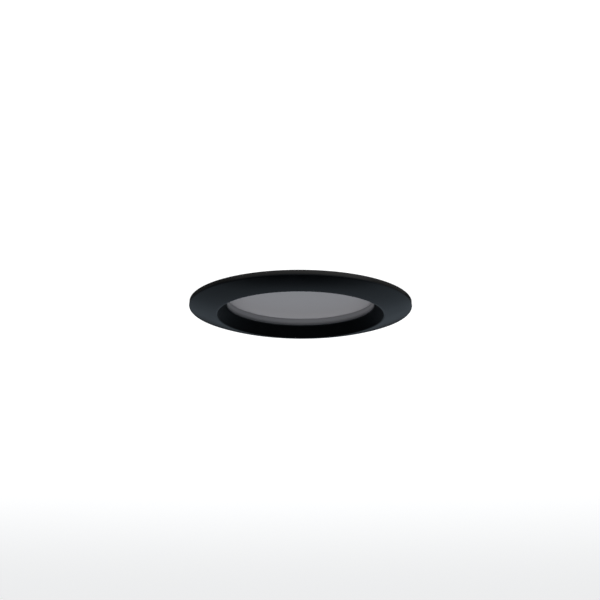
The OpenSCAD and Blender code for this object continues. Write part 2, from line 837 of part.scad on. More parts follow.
module clip_sleeve() {
    shell = sleeve_wall + seat_gap;
    at_pivot(clip_rest)
        difference() {
            across(clip_w + 2 * shell) band(carried_on(sleeve_line, shell), arm_t / 2 + shell);
            across(clip_w + 2 * seat_gap) band(carried_on(arm_line, seat_gap), arm_t / 2 + seat_gap);
        }
}

// ---- Torsion spring: a leg on the bracket, the coil round the pin, a leg in the arm ----
coil_wrap = 360 * coil_turns + 90 - clip_rest;
coil_rings = ceil(coil_wrap / 45);
coil_width = coil_pitch * coil_wrap / 360;
fixed_leg = 5.5;
moving_leg = 6.5;
slope = coil_pitch / (2 * PI * coil_r);

// Each station is a point of the wire's middle line, its direction away from the coil's axis, and its heading
function coil_station(i) =
    let (a = 180 + coil_wrap * i / coil_rings, y = -coil_width / 2 + coil_width * i / coil_rings,
         away = [cos(a), 0, sin(a)], along = [-sin(a), slope, cos(a)])
    [[0, y, 0] + coil_r * away, away, along / norm(along)];

wire_stations = let (
    first = coil_station(0), last = coil_station(coil_rings),
    down = [0, 0, -1], out = [cos(clip_rest), 0, -sin(clip_rest)])
    concat(
        [[first[0] - fixed_leg * down, first[1], down], [first[0] - wire_d * down, first[1], down]],
        [for (i = [0:coil_rings]) coil_station(i)],
        [[last[0] + wire_d * out, last[1], out], [last[0] + moving_leg * out, last[1], out]]);

wire_points = [for (s = wire_stations) s[0]];
wire_gap = min([for (i = [0:len(wire_points) - 1]) for (j = [i + 5:1:len(wire_points) - 1])
                norm(wire_points[i] - wire_points[j])]) - wire_d;
echo(str("clip spring: ", coil_wrap / 360, " turns, least gap to itself ", wire_gap, " mm"));
echo(str("clip pivots: ", pivot_x, " mm out and ", pivot_z, " mm up, travel ", 90 + clip_rest, " degrees"));

module swept_wire(stations, r, sides = 6) {
    rings = len(stations);
    points = [for (s = stations) for (k = [0:sides - 1])
              let (a = 360 * k / sides, side = cross(s[2], s[1])) s[0] + r * (cos(a) * s[1] + sin(a) * side)];
    walls = [for (i = [0:rings - 2]) for (k = [0:sides - 1])
             let (a = i * sides + k, b = i * sides + (k + 1) % sides) each
             [[a, b, b + sides], [a, b + sides, a + sides]]];
    start_cap = [for (k = [1:sides - 2]) [0, k + 1, k]];
    end_cap = let (e = (rings - 1) * sides) [for (k = [1:sides - 2]) [e, e + k, e + k + 1]];
    polyhedron(points, concat(walls, start_cap, end_cap));
}

module clip_spring() {
    translate([pivot_x, 0, pivot_z]) swept_wire(wire_stations, wire_d / 2);
}

module right_clip_bracket() {
    color(zinc) on_side(true) clip_bracket();
}

module left_clip_bracket() {
    color(zinc) on_side(false) clip_bracket();
}

module right_clip_pin() {
    color(spring_steel) on_side(true) clip_pin();
}

module left_clip_pin() {
    color(spring_steel) on_side(false) clip_pin();
}

module right_clip_arm() {
    color(zinc) on_side(true) clip_arm();
}

module left_clip_arm() {
    color(zinc) on_side(false) clip_arm();
}

module right_clip_spring() {
    color(spring_steel) on_side(true) clip_spring();
}

module left_clip_spring() {
    color(spring_steel) on_side(false) clip_spring();
}

module right_clip_sleeve() {
    color(rubber) on_side(true) clip_sleeve();
}

module left_clip_sleeve() {
    color(rubber) on_side(false) clip_sleeve();
}

module bracket_screws() {
    color(zinc)
        for (right = [true, false])
            on_side(right)
                translate([bracket_face_x, 0, bracket_screw_z])
                    rotate([0, 90, 0]) screw(cover_screw_d, bracket_t + screw_bite - hole_spare, 1.5);
}

module pin_retainers() {
    half = bracket_w / 2;
    color(spring_steel)
        for (right = [true, false])
            on_side(right)
                translate([pivot_x, half, pivot_z])
                    rotate([-90, 0, 0])
                        difference() {
                            cylinder(d = pin_d + 1.8, h = 0.5, $fn = 48);
                            translate([0, 0, -cut]) cylinder(d = pin_d + 0.04, h = 0.5 + 2 * cut, $fn = 48);
                        }
}

bezel();
soffit_gasket();
diffuser_seal();
diffuser();
reflector();
led_board();
led_packages();
led_connector();
led_board_screws();
thermal_pad();
heat_sink();
bezel_screws();
lead_grommet();
led_lead_positive();
led_lead_negative();
driver_liner();
driver_board();
rectifier();
smoothing_capacitor();
power_inductor();
driver_ic();
mains_terminal();
terminal_screws();
rear_cover();
rear_cover_seal();
rear_cover_screws();
gland_washer();
gland_body();
gland_seal();
gland_nut();
gland_lock_nut();
right_clip_bracket();
right_clip_pin();
right_clip_arm();
right_clip_spring();
right_clip_sleeve();
left_clip_bracket();
left_clip_pin();
left_clip_arm();
left_clip_spring();
left_clip_sleeve();
bracket_screws();
pin_retainers();
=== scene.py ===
# %% [markdown]
# # A soffit downlight, dressed for its picture
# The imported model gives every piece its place. This script puts finely curved surfaces and
# finishes on it, and shows it as the photograph does: from below, flush with a white soffit.
# All sizes are written in millimetres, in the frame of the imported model, where the soffit's
# underside is z = 0 and the room is below it.

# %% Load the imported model
import math

import bmesh
import bpy
import numpy as np
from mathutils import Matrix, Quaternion, Vector


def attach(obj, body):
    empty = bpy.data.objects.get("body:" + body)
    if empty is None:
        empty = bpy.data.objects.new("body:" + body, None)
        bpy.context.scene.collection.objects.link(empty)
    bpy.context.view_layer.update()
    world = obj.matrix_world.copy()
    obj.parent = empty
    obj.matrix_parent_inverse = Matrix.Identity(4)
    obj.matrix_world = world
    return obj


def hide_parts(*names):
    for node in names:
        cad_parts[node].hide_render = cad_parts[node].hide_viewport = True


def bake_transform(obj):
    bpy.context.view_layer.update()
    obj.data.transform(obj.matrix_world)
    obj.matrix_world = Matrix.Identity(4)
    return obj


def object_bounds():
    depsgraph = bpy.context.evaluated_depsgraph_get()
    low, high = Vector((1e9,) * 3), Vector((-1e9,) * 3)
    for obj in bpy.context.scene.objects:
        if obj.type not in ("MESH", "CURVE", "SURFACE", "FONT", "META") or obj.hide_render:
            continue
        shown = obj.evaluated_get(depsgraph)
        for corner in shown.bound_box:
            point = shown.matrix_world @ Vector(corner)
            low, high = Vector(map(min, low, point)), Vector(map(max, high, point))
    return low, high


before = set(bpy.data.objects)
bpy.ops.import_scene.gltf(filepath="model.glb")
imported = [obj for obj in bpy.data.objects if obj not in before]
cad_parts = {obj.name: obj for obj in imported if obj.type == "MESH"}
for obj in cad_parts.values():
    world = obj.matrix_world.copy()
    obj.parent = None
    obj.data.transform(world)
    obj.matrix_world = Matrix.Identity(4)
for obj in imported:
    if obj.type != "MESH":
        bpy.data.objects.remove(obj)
cad_box = [list(corner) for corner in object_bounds()]
MM = 0.001
print("CAD box in mm:", [[round(x / MM, 2) for x in corner] for corner in cad_box])

# %% [markdown]
# ## Camera
# The photograph looks up at the trim from a little below it. A circle seen aslant is an
# ellipse whose height over its width is the sine of the viewing angle, which gives the
# elevation; how much the near side looks larger than the far side gives the distance.
# One could drag a camera about until the outlines match, but worked out from the outline
# it lands in one go. The small shift and roll put the ring where the photograph has it.

# %% Camera
CAMERA_DISTANCE = 450 * MM
CAMERA_BELOW = math.radians(16.68)
CAMERA_ROLL = math.radians(0.25)
SENSOR = 36.0
VIEW_WIDTH = 243.5 * MM  # width of the picture, measured at the ring
PICTURE = 600  # pixels each way
RING_OFFSET = (0.55, 4.77)  # pixels right of and below the picture's middle


def add_object(name, data):
    """Puts a camera, lamp or mesh into the scene."""
    made = bpy.data.objects.new(name, data)
    bpy.context.scene.collection.objects.link(made)
    return made


def make_camera():
    """A camera below the ring on its near side, aimed at the origin."""
    data = bpy.data.cameras.new("camera")
    data.sensor_width = SENSOR
    data.lens = SENSOR * CAMERA_DISTANCE / VIEW_WIDTH
    data.shift_x = -RING_OFFSET[0] / PICTURE
    data.shift_y = RING_OFFSET[1] / PICTURE
    data.clip_start, data.clip_end = 0.01, 50  # metres
    camera = add_object("camera", data)
    place = Vector((0, -math.cos(CAMERA_BELOW), -math.sin(CAMERA_BELOW))) * CAMERA_DISTANCE
    camera.location = place
    camera.rotation_mode = "QUATERNION"
    level = (-place).to_track_quat("-Z", "Y")
    camera.rotation_quaternion = level @ Quaternion((0, 0, 1), CAMERA_ROLL)
    bpy.context.scene.camera = camera
    return camera


camera = make_camera()
print("lens", round(camera.data.lens, 2), "mm")

# %% [markdown]
# ## Surfaces from arrays
# Nearly every piece of this light is round. A lathe's shape is a profile carried round an
# axis: x = r cos a, y = r sin a, z = z. Blender's Spin or Screw could do that, but worked
# out as one array it is quick, exact, and the radius may also change with the angle,
# which gives fins, hexagons and screw slots from the same few lines.


# %% Helpers for surfaces
def corner_points(points, radii, steps=4):
    """Rounds the corners of a line: each corner P with neighbours A and B becomes the curve
    P + (1 - t)^2 (A' - P) + t^2 (B' - P), where A' and B' lie at distance radius from P."""
    points = np.asarray(points, float)
    radii = np.broadcast_to(radii, len(points)).astype(float)
    before, after = np.roll(points, 1, axis=0), np.roll(points, -1, axis=0)
    to_before, to_after = before - points, after - points
    len_before = np.linalg.norm(to_before, axis=1, keepdims=True)
    len_after = np.linalg.norm(to_after, axis=1, keepdims=True)
    reach = np.minimum(radii[:, None], 0.45 * np.minimum(len_before, len_after))
    start, end = to_before / len_before * reach, to_after / len_after * reach
    t = np.linspace(0, 1, steps + 1)[None, :, None]
    curve = points[:, None] + (1 - t) ** 2 * start[:, None] + t**2 * end[:, None]
    return curve.reshape(-1, 2)


def arc(centre, radius, start, end, steps):
    """Points of a circle: centre + radius (cos a, sin a), with a in degrees from start to end."""
    a = np.radians(np.linspace(start, end, steps + 1))
    return np.asarray(centre) + radius * np.stack([np.cos(a), np.sin(a)], axis=1)


def skin(name, grids, wrap_rows=False, wrap_columns=True, sharp=35, uv=None):
    """A mesh over one grid of points of shape (rows, columns, 3), or over several of the same
    shape, in millimetres. Face (i, j) of a grid has the corners (i, j), (i, j + 1),
    (i + 1, j + 1) and (i + 1, j). uv gives a grid's points their place on the surface."""
    grids = np.asarray(grids, float).reshape(-1, *np.shape(grids)[-3:])
    count, rows, columns = grids.shape[:3]
    i = np.arange(rows if wrap_rows else rows - 1)[:, None]
    j = np.arange(columns if wrap_columns else columns - 1)[None, :]
    next_i, next_j = (i + 1) % rows, (j + 1) % columns
    corners = [
        i * columns + j, i * columns + next_j, next_i * columns + next_j, next_i * columns + j
    ]
    one = np.stack(corners, axis=-1).reshape(-1, 4)
    faces = (one[None] + (np.arange(count) * rows * columns)[:, None, None]).reshape(-1, 4)
    mesh = bpy.data.meshes.new(name)
    mesh.from_pydata((grids.reshape(-1, 3) * MM).tolist(), [], faces.tolist())
    if uv is not None:
        layer = mesh.uv_layers.new(name="UVMap")
        layer.data.foreach_set("uv", (np.asarray(uv).reshape(-1, 2)[faces.ravel()] * MM).ravel())
    close_up(mesh, sharp)
    return add_object(name, mesh)


MERGE_WITHIN, SLIVER = 1e-7, 1e-8  # metres


def close_up(mesh, sharp):
    """Merges poles and seams, points the faces outwards and marks edges sharper than an angle
    in degrees. A closed skin with a volume below zero is inside out, so it is reversed."""
    work = bmesh.new()
    work.from_mesh(mesh)
    bmesh.ops.remove_doubles(work, verts=work.verts, dist=MERGE_WITHIN)
    bmesh.ops.dissolve_degenerate(work, edges=work.edges, dist=SLIVER)
    bmesh.ops.recalc_face_normals(work, faces=work.faces)
    if work.calc_volume(signed=True) < 0:
        bmesh.ops.reverse_faces(work, faces=work.faces)
    work.to_mesh(mesh)
    work.free()
    mesh.shade_smooth()
    mesh.set_sharp_from_angle(angle=math.radians(sharp))


def polar(radius, angle, height):
    """The points (r cos a, r sin a, z), with a in radians."""
    x = radius * np.cos(angle)
    return np.stack([x, radius * np.sin(angle), height + 0 * x], axis=-1)


def turned(profile, steps):
    """The profile's points (r, z) carried round Z."""
    a = np.linspace(0, 2 * np.pi, steps, endpoint=False)
    return polar(profile[:, :1], a, profile[:, 1:])


def lathe(name, profile, steps=192, sharp=35):
    """A closed ring or disc from a closed outline of points (r, z)."""
    return skin(name, turned(np.asarray(profile, float), steps), wrap_rows=True, sharp=sharp)


def dress(piece, material, nodes, body="fixture"):
    """Gives a piece its finish, the body that it rides on and the nodes that it stands for."""
    piece.data.materials.clear()
    piece.data.materials.append(material)
    if body:
        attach(piece, body)
    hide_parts(*nodes)
    print(piece.name, len(piece.data.polygons), "faces")


# %% [markdown]
# ## Finishes
# A real finish is never one flat colour. Powder coat has the fine orange peel of paint that
# melted and flowed, a die casting is blasted to a sparkle, and zinc on sheet steel clouds.
# Picture textures would repeat and blur close up, so each finish is worked out from the
# place on the piece itself: broad clouds change colour and gloss, and a fine grain of a
# stated size in millimetres lifts the surface.


# %% Helpers for finishes
USUAL_NOISE = (0.3, 0.7)  # nearly all values of a noise texture lie between these


def node(tree, kind, **values):
    """Adds a shader node. A value named after one of its sockets goes there, and any other is
    one of the node's settings."""
    made = tree.nodes.new("ShaderNode" + kind)
    for key, value in values.items():
        if key in made.inputs:
            made.inputs[key].default_value = value
        else:
            setattr(made, key, value)
    return made


def place_on(tree, stretch=(1, 1, 1), coordinates="Object"):
    """Place on the piece, squeezed by a factor along each axis."""
    where = node(tree, "TexCoord")
    scaled = node(tree, "Mapping")
    scaled.inputs["Scale"].default_value = stretch
    tree.links.new(where.outputs[coordinates], scaled.inputs["Vector"])
    return scaled.outputs["Vector"]


def clouds(tree, where, size_mm, detail=3.0, roughness=0.55):
    """Soft noise whose patches are about size_mm across."""
    made = node(tree, "TexNoise", Scale=1 / (size_mm * MM), Detail=detail, Roughness=roughness)
    tree.links.new(where, made.inputs["Vector"])
    return made.outputs["Fac"]


def spread(tree, value, low, high, source=USUAL_NOISE):
    """Maps a value from its source range onto low to high."""
    made = node(tree, "MapRange")
    made.inputs["From Min"].default_value, made.inputs["From Max"].default_value = source
    made.inputs["To Min"].default_value, made.inputs["To Max"].default_value = low, high
    tree.links.new(value, made.inputs["Value"])
    return made.outputs["Result"]


def ramped(tree, value, stops):
    """Turns a value into a colour. Each stop is a value and the colour that it gets."""
    ramp = node(tree, "ValToRGB")
    marks = ramp.color_ramp.elements
    marks[0].position, marks[1].position = stops[0][0], stops[-1][0]
    marks[0].color, marks[1].color = (*stops[0][1], 1), (*stops[-1][1], 1)
    for place, colour in stops[1:-1]:
        marks.new(place).color = (*colour, 1)
    tree.links.new(value, ramp.inputs["Fac"])
    return ramp.outputs["Color"]


def raised(tree, height, lift_mm):
    """Tilts the surface as a relief that is lift_mm high would."""
    made = node(tree, "Bump", Distance=lift_mm * MM)
    tree.links.new(height, made.inputs["Height"])
    return made.outputs["Normal"]


def new_material(name):
    """A material, its nodes and its shader."""
    material = bpy.data.materials.new(name)
    material.use_nodes = True
    return material, material.node_tree, material.node_tree.nodes["Principled BSDF"]


def finish(
    name, dark, light, rough, metallic=0.0, patch_mm=4.0, grain_mm=0.3, lift_mm=0.01,
    stretch=(1, 1, 1), ior=1.5, coordinates="Object", grain_detail=2.0,
):
    """A finish with clouds of colour and gloss that are patch_mm across, and a grain that is
    grain_mm across and lift_mm high. rough is its lowest and highest roughness."""
    material, tree, shader = new_material(name)
    where = place_on(tree, stretch, coordinates)
    broad = clouds(tree, where, patch_mm)
    fine = clouds(tree, where, grain_mm, grain_detail)
    link = tree.links.new
    colour = ramped(tree, broad, [*zip(USUAL_NOISE, (dark, light))])
    link(colour, shader.inputs["Base Color"])
    link(spread(tree, broad, *rough), shader.inputs["Roughness"])
    link(raised(tree, fine, lift_mm), shader.inputs["Normal"])
    shader.inputs["Metallic"].default_value = metallic
    shader.inputs["IOR"].default_value = ior
    return material


# %% [markdown]
# ## Trim ring
# The ring is turned or cast, then powder coated black. Its face is a shallow dome that
# rolls over a rounded lip into a cone, the anti-glare throat, with the window set back
# behind it. A lathe profile gives all of it: one arc for the dome, one for the lip that
# the dome runs into without a kink, and a straight line for the throat. Beside the bright
# window the throat stays dark in the photograph, so it has a matt finish of its own, which
# goes to the faces that lie inside the lip.

# %% Finish of the trim ring
powder_coat = finish(
    "powder_coat", dark=(0.0004, 0.0005, 0.0006), light=(0.0007, 0.0008, 0.0010),
    rough=(0.19, 0.25), patch_mm=6, grain_mm=0.45, lift_mm=0.005,
)

# %% Trim ring
# Centres (r, z) and radii of the arcs of the face, its outer edge and the lip, and the angles
# in degrees at which one runs into the next.
FACE_CENTRE, FACE_R = (23.5732, 51.9971), 58.0
EDGE_CENTRE, EDGE_ROUND = (44.4960, -1.55964), 0.5
LIP_CENTRE, LIP_R = (34.2, -3.7996), 1.2
RIM_ANGLE, LIP_OUT, LIP_IN = -68.6574, -79.2169, -138.8727
THROAT = (29.9, -0.7)
ring_front = np.concatenate([
    arc(EDGE_CENTRE, EDGE_ROUND, 0, RIM_ANGLE, 8),
    arc(FACE_CENTRE, FACE_R, RIM_ANGLE, LIP_OUT, 40)[1:],
    arc(LIP_CENTRE, LIP_R, LIP_OUT, LIP_IN, 24)[1:],
])
ring_back = corner_points(
    [THROAT, (32.4, -0.7), (32.4, 1.4), (33.2, 1.4), (33.2, -0.4), (38.5, -0.4),
     (38.5, -0.8), (43.7, -0.8), (43.7, 0), (44.996, 0)],
    [0.08, 0.1, 0.15, 0.15, 0.1, 0.08, 0.08, 0.08, 0.15, 0.2],
)
trim_ring = lathe("trim_ring", np.concatenate([ring_front, ring_back]), steps=288)
dress(trim_ring, powder_coat, nodes=["bezel"])

# %% Matt throat
throat_black = finish(
    "throat_matt_black", dark=(0.0004, 0.0005, 0.0006), light=(0.0008, 0.0009, 0.0011),
    rough=(0.42, 0.50), patch_mm=5, grain_mm=0.3, lift_mm=0.006, ior=1.2,
)
throat_shader = throat_black.node_tree.nodes["Principled BSDF"]
throat_shader.inputs["Specular Tint"].default_value = (0.4, 0.42, 0.45, 1)
trim_ring.data.materials.append(throat_black)
centres = np.zeros(len(trim_ring.data.polygons) * 3)
trim_ring.data.polygons.foreach_get("center", centres)
from_axis = np.hypot(*(centres.reshape(-1, 3)[:, :2].T)) / MM
INSIDE_LIP_R, THROAT_TOP_Z = LIP_CENTRE[0] - 0.55, -0.6
in_throat = (from_axis < INSIDE_LIP_R) & (centres[2::3] < THROAT_TOP_Z * MM)
trim_ring.data.polygons.foreach_set("material_index", in_throat.astype(np.int32))
print(int(in_throat.sum()), "faces of the throat are matt")

# %% [markdown]
# ## Window
# The opal window is a shallow moulded tray. Unlit, its flat face is an even cool grey. Its
# wall carries painted shade, darkest at its foot, where the recess shades it. Two finishes
# would meet in a hard line, so there is one, and the place's own height drives its colour,
# which darkens down the wall.

# %% Window
WINDOW_R, WINDOW_Z, FOOT_Z, TRAY_R, FOOT_R = 29.7, 2.7, -0.2, 31.2, 32.2
# The wall's foot colour and its levels are painted shade: the wall is darker towards its foot.
OPAL, FOOT_SHADE = (0.2150, 0.2112, 0.2210), (0.040, 0.042, 0.047)
WALL_SHADE_LEVELS = [(0.2, 0.090), (0.45, 0.158), (0.7, 0.160), (0.91, 0.130)]  # share of height, level
WALL_TINT = (0.985, 0.98, 1.03)


def make_opal():
    """Opal acrylic, coloured by height: the wall's levels, which are painted shade that deepens to
    the foot, and OPAL on the face.
    """
    material, tree, shader = new_material("opal_acrylic")
    link = tree.links.new
    where = node(tree, "TexCoord").outputs["Object"]
    height = node(tree, "SeparateXYZ")
    link(where, height.inputs["Vector"])
    up_wall = spread(tree, height.outputs["Z"], 0, 1, (FOOT_Z * MM, WINDOW_Z * MM))
    wall = [(place, [level * tint for tint in WALL_TINT]) for place, level in WALL_SHADE_LEVELS]
    # The ramp paints shade on the wall, darkest at its foot.
    colour = ramped(tree, up_wall, [(0.0, FOOT_SHADE), *wall, (0.99, OPAL)])
    link(colour, shader.inputs["Base Color"])
    haze = clouds(tree, where, size_mm=9.0)
    link(spread(tree, haze, 0.28, 0.31), shader.inputs["Roughness"])
    grain = clouds(tree, where, size_mm=1.2)
    link(raised(tree, grain, lift_mm=0.001), shader.inputs["Normal"])
    shader.inputs["IOR"].default_value = 1.49
    return material


opal = make_opal()
tray = corner_points(
    [(0, WINDOW_Z), (WINDOW_R, WINDOW_Z), (WINDOW_R, FOOT_Z), (FOOT_R, FOOT_Z), (FOOT_R, 1.2),
     (TRAY_R, 1.2), (TRAY_R, 4.3), (0, 4.3)],
    [0, 0.25, 0.1, 0.1, 0.1, 0.1, 0.2, 0],
)
window = lathe("window", tray)
dress(window, opal, nodes=["diffuser"])

# %% [markdown]
# ## Rubber, foam and seals
# The soffit gasket is closed-cell foam: its cut faces show tiny cells. The seal under the
# window and the washer under the gland are smooth rubber with a faint bloom. All are rings,
# so the lathe makes them from an outline. A torus would have no flat sides to seat on.

# %% Rubber and foam rings
rubber = finish(
    "black_rubber", dark=(0.0075, 0.0075, 0.008), light=(0.014, 0.014, 0.0145), rough=(0.55, 0.72),
    patch_mm=5, grain_mm=0.18, lift_mm=0.004,
)
foam = finish(
    "black_foam", dark=(0.006, 0.006, 0.0065), light=(0.013, 0.013, 0.0135), rough=(0.88, 0.97),
    patch_mm=1.4, grain_mm=0.32, lift_mm=0.05, grain_detail=4,
)


def block_ring(name, inner, outer, low, high, rounding, steps=160):
    """A ring of rectangular section with rounded corners."""
    outline = [(inner, low), (outer, low), (outer, high), (inner, high)]
    return lathe(name, corner_points(outline, rounding, 3), steps)


gasket = block_ring("soffit_foam", 38.5, 43.7, -0.8, 0, 0.12)
dress(gasket, foam, nodes=["soffit_gasket"])
window_seal = block_ring("window_seal", 30.3, 32.2, -0.7, -0.2, 0.1)
dress(window_seal, rubber, nodes=["diffuser_seal"])
washer = block_ring("gland_sealing_washer", 6.1, 7.2, 41.3, 42.1, 0.15, steps=96)
dress(washer, rubber, nodes=["gland_washer"])

# %% [markdown]
# ## Finned can
# The can is one aluminium die casting: a plain skirt that fills the hole in the soffit, and
# above it a drum with a ring of tapered fins, cut away flat where the two clips sit. It
# could be built from a cylinder and thirty boxes joined together, but then each fin would
# meet the drum in a hard corner. Instead the whole outside is one radius for each angle and
# height. Smooth maximum and minimum of simple radii round every corner, as a casting has.


# %% The can's radius
def smooth_min(a, b, blend):
    """The lower of two, rounded where they are closer than blend: min - h^2 / (4 blend),
    where h = max(blend - |a - b|, 0)."""
    h = np.maximum(blend - np.abs(a - b), 0)
    return np.minimum(a, b) - h**2 / (4 * blend)


def smooth_max(a, b, blend):
    """The higher of two, rounded in the same way."""
    return -smooth_min(-a, -b, blend)


CORE_R, CAN_R, FIN_R = 30.0, 36.5, 36.0
SKIRT_TOP, CAN_RIM = 8.5, 38.0
FIN_ROOT, FIN_TIP = 0.9, 0.6  # half of a fin's thickness
FIN_STEP, FIRST_FIN = 10, 15  # degrees between fins, and from the clip to where fins begin
ROOT_BLEND, CROWN_BLEND = 0.9, 0.5
FIN_CROWN, CROWN_START, SINK = 6.0, 30.0, 3
BASE_FILLET = 1.2
SEAT_X, SEAT_HALF, SEAT_TOP = 29.6059, 7.0, 22.4


def crown_radius(z):
    """How far a fin reaches at a height: its top is a quarter circle of radius FIN_CROWN, and
    above that it sinks into the drum, by SINK for each millimetre."""
    over = np.clip(z - CROWN_START, 0, FIN_CROWN)
    sunk = np.clip(z - CROWN_START - FIN_CROWN, 0, 1)
    return FIN_R - FIN_CROWN + np.sqrt(FIN_CROWN**2 - over**2) - SINK * sunk


TAPER = (FIN_TIP - FIN_ROOT) / (FIN_R - CORE_R)
FLANK = FIN_ROOT - CORE_R * TAPER  # half of the thickness that a fin would have at the axis


def can_radius(angle, z):
    """Radius at an angle in degrees and a height. A fin's flank obeys r sin a = FLANK +
    TAPER r cos a, solved for r; a flat seat at x = s has r = s / cos a."""
    from_fin = np.abs((angle + FIN_STEP / 2) % FIN_STEP - FIN_STEP / 2)
    side = np.abs((angle + 90) % 180 - 90)  # from the X axis, either way
    sine, cosine = np.sin(np.radians(from_fin)), np.cos(np.radians(from_fin))
    flank = FLANK / np.maximum(sine - TAPER * cosine, 1e-6)
    fin = np.where(side > FIRST_FIN, smooth_min(flank, crown_radius(z), CROWN_BLEND), 0)
    under = np.clip(SKIRT_TOP + BASE_FILLET - z, 0, BASE_FILLET)
    core = CORE_R + BASE_FILLET - np.sqrt(BASE_FILLET**2 - under**2)
    drum = smooth_max(core, fin, ROOT_BLEND)
    seat = SEAT_X / np.cos(np.radians(side))
    on_seat = SEAT_X * np.tan(np.radians(side)) < SEAT_HALF
    return np.where(on_seat, np.where(z < SEAT_TOP, seat, np.minimum(CORE_R, seat)), drum)


print("a fin grows thinner by", round(-2 * TAPER, 3), "mm for each mm outwards")


# %% Angles that follow the fins' edges
SEAT_EDGE = math.degrees(math.atan(SEAT_HALF / SEAT_X))


def can_angles(z):
    """The angles of one row, in degrees. A fin's edge, where flank and crown meet, stands at
    atan(TAPER) + asin(FLANK / (crown sqrt(1 + TAPER^2))) from the fin's middle. Columns keep
    to that edge at every height, so it comes out as a clean line and not as a staircase."""
    reach = crown_radius(z) * math.sqrt(1 + TAPER**2)
    edge = math.degrees(math.atan(TAPER) + math.asin(FLANK / reach))
    on_tip = np.array([0.4 * edge, 0.8 * edge, edge - 0.05, edge])
    on_flank = edge + (2.3 - edge) * np.array([0.04, 0.26, 0.44, 0.51, 0.57, 0.65, 0.75, 1])
    half = np.concatenate([on_tip, on_flank, [3.2, 4.2]])
    fin = np.concatenate([[-FIN_STEP / 2], -half, [0], half])
    seats = [
        side + way * (SEAT_EDGE + off)
        for side in (0, 180) for way in (-1, 1) for off in (-0.02, 0.02)
    ]
    return np.sort(np.concatenate([fin + a for a in range(0, 360, FIN_STEP)] + [seats]) % 360)


print(len(can_angles(SKIRT_TOP)), "columns round the can")

# %% Finned can
LEDGE_R, RIM_R, FIN_END_Z = 36.2, 29.5, 37.5


def can_rows():
    """The can's closed section as rows of (radii, height). Plain rows have one radius, and
    between the skirt's top and the rim the radius comes from the angle."""
    skirt = corner_points(
        [(33.3, -0.4), (CAN_R, -0.4), (CAN_R, SKIRT_TOP), (LEDGE_R, SKIRT_TOP)],
        [0.2, 0.3, 0.25, 0], 3,
    )[:-4]
    fillet = np.radians(np.linspace(8, 90, 6))
    crown = np.radians(np.linspace(0, 90, 19))
    heights = np.concatenate([
        SKIRT_TOP + BASE_FILLET * (1 - np.cos(fillet)), np.linspace(12, SEAT_TOP - 0.02, 5),
        [SEAT_TOP + 0.02, 25, 28], CROWN_START + FIN_CROWN * np.sin(crown),
        [36.8, FIN_END_Z],
    ])
    inside = corner_points(
        [(RIM_R, CAN_RIM), (23.5, CAN_RIM), (23.5, 19.1), (3.0, 19.1), (3.0, 15.1), (25.3, 15.1),
         (25.3, 10.07), (32.4, 5.25), (32.4, 1.6), (33.3, 1.6)],
        [0, 0.2, 0.8, 0.1, 0.1, 0.6, 0.3, 0.3, 0.1, 0.1], 2,
    )[3:]
    foot = np.minimum(can_radius(can_angles(SKIRT_TOP), SKIRT_TOP), LEDGE_R)
    ledge = [(LEDGE_R + t * (foot - LEDGE_R), SKIRT_TOP) for t in (0, 0.5, 1)]
    fins = [(can_radius(can_angles(z), z), z) for z in heights]
    return [*skirt, *ledge, *fins, (RIM_R, CAN_RIM), *inside]


rows = can_rows()
turn = np.radians([can_angles(np.clip(z, SKIRT_TOP, FIN_END_Z)) for _, z in rows])
radius = np.array([r + 0 * turn[0] for r, _ in rows])
can_grid = polar(radius, turn, np.array([[z] for _, z in rows]))
cast_aluminium = finish(
    "cast_aluminium", dark=(0.47, 0.475, 0.48), light=(0.56, 0.565, 0.57), rough=(0.42, 0.55),
    metallic=0.6, patch_mm=7, grain_mm=0.35, lift_mm=0.02, grain_detail=4,
)
can = skin("finned_can", can_grid, wrap_rows=True, sharp=40)
dress(can, cast_aluminium, nodes=["heat_sink"])

# %% [markdown]
# ## Rear cover
# A second casting closes the driver's chamber. Its edge is well rounded and a low hub
# carries the cable gland. A Bevel modifier would round all of its edges alike, but on the
# lathe each corner of the outline has a radius of its own, large outside and small inside.

# %% Rear cover
cover = lathe("rear_cover_casting", corner_points(
    [(6.1, 38), (21.95, 38), (21.95, 36.2), (23.35, 36.2), (23.35, 38), (29.6, 38), (29.6, 40.5),
     (10.9, 40.5), (9.9, 41.3), (6.1, 41.3)],
    [0.1, 0.1, 0.1, 0.1, 0.1, 0.15, 1.0, 0.6, 0.5, 0.2], 4,
), steps=160)
dress(cover, cast_aluminium, nodes=["rear_cover"])

# %% [markdown]
# ## Pan-head screws
# A pan head is a low dome with a cross recess for the driver. Cutting the cross out of a
# dome would leave thin slivers, and on rings of points it would come out lumpy, because no
# ring follows the cross. Here the top is laid out in squares that open into circles towards
# the edge, and the grid lines in the middle run along the walls of the cross.


# %% Nested squares
def square_rings(sizes, half, wall, reach, edge):
    """Points of nested squares with half side m. Each side has points at +-half and
    +-(half - wall) that keep their place on every square, and points shared out from half to
    the corner. Beyond reach a square swells: (x, y) times 1 - t + t m / hypot(x, y), with t
    running from 0 to 1 at the edge, where it is a circle."""
    share = np.arange(1, 7) / 6
    fixed = np.concatenate([[half] * 6, [half, half - wall, 0]])
    free = np.concatenate([share[::-1], [0, 0, 0]])
    m = np.asarray(sizes, float)[:, None]
    outward = np.minimum(fixed + free * np.maximum(m - half, 0), m)
    across = np.concatenate([-outward, outward[:, -2:0:-1]], axis=1)
    out = m + 0 * across
    x = np.concatenate([out, -across, -out, across], axis=1)
    y = np.concatenate([across, out, -across, -out], axis=1)
    t = np.clip((m - reach) / (edge - reach), 0, 1)
    swell = 1 - t + t * m / np.maximum(np.hypot(x, y), 1e-9)
    return x * swell, y * swell, np.tile(np.abs(across), (1, 4))


# %% Pan-head screw
TINY = 1e-6


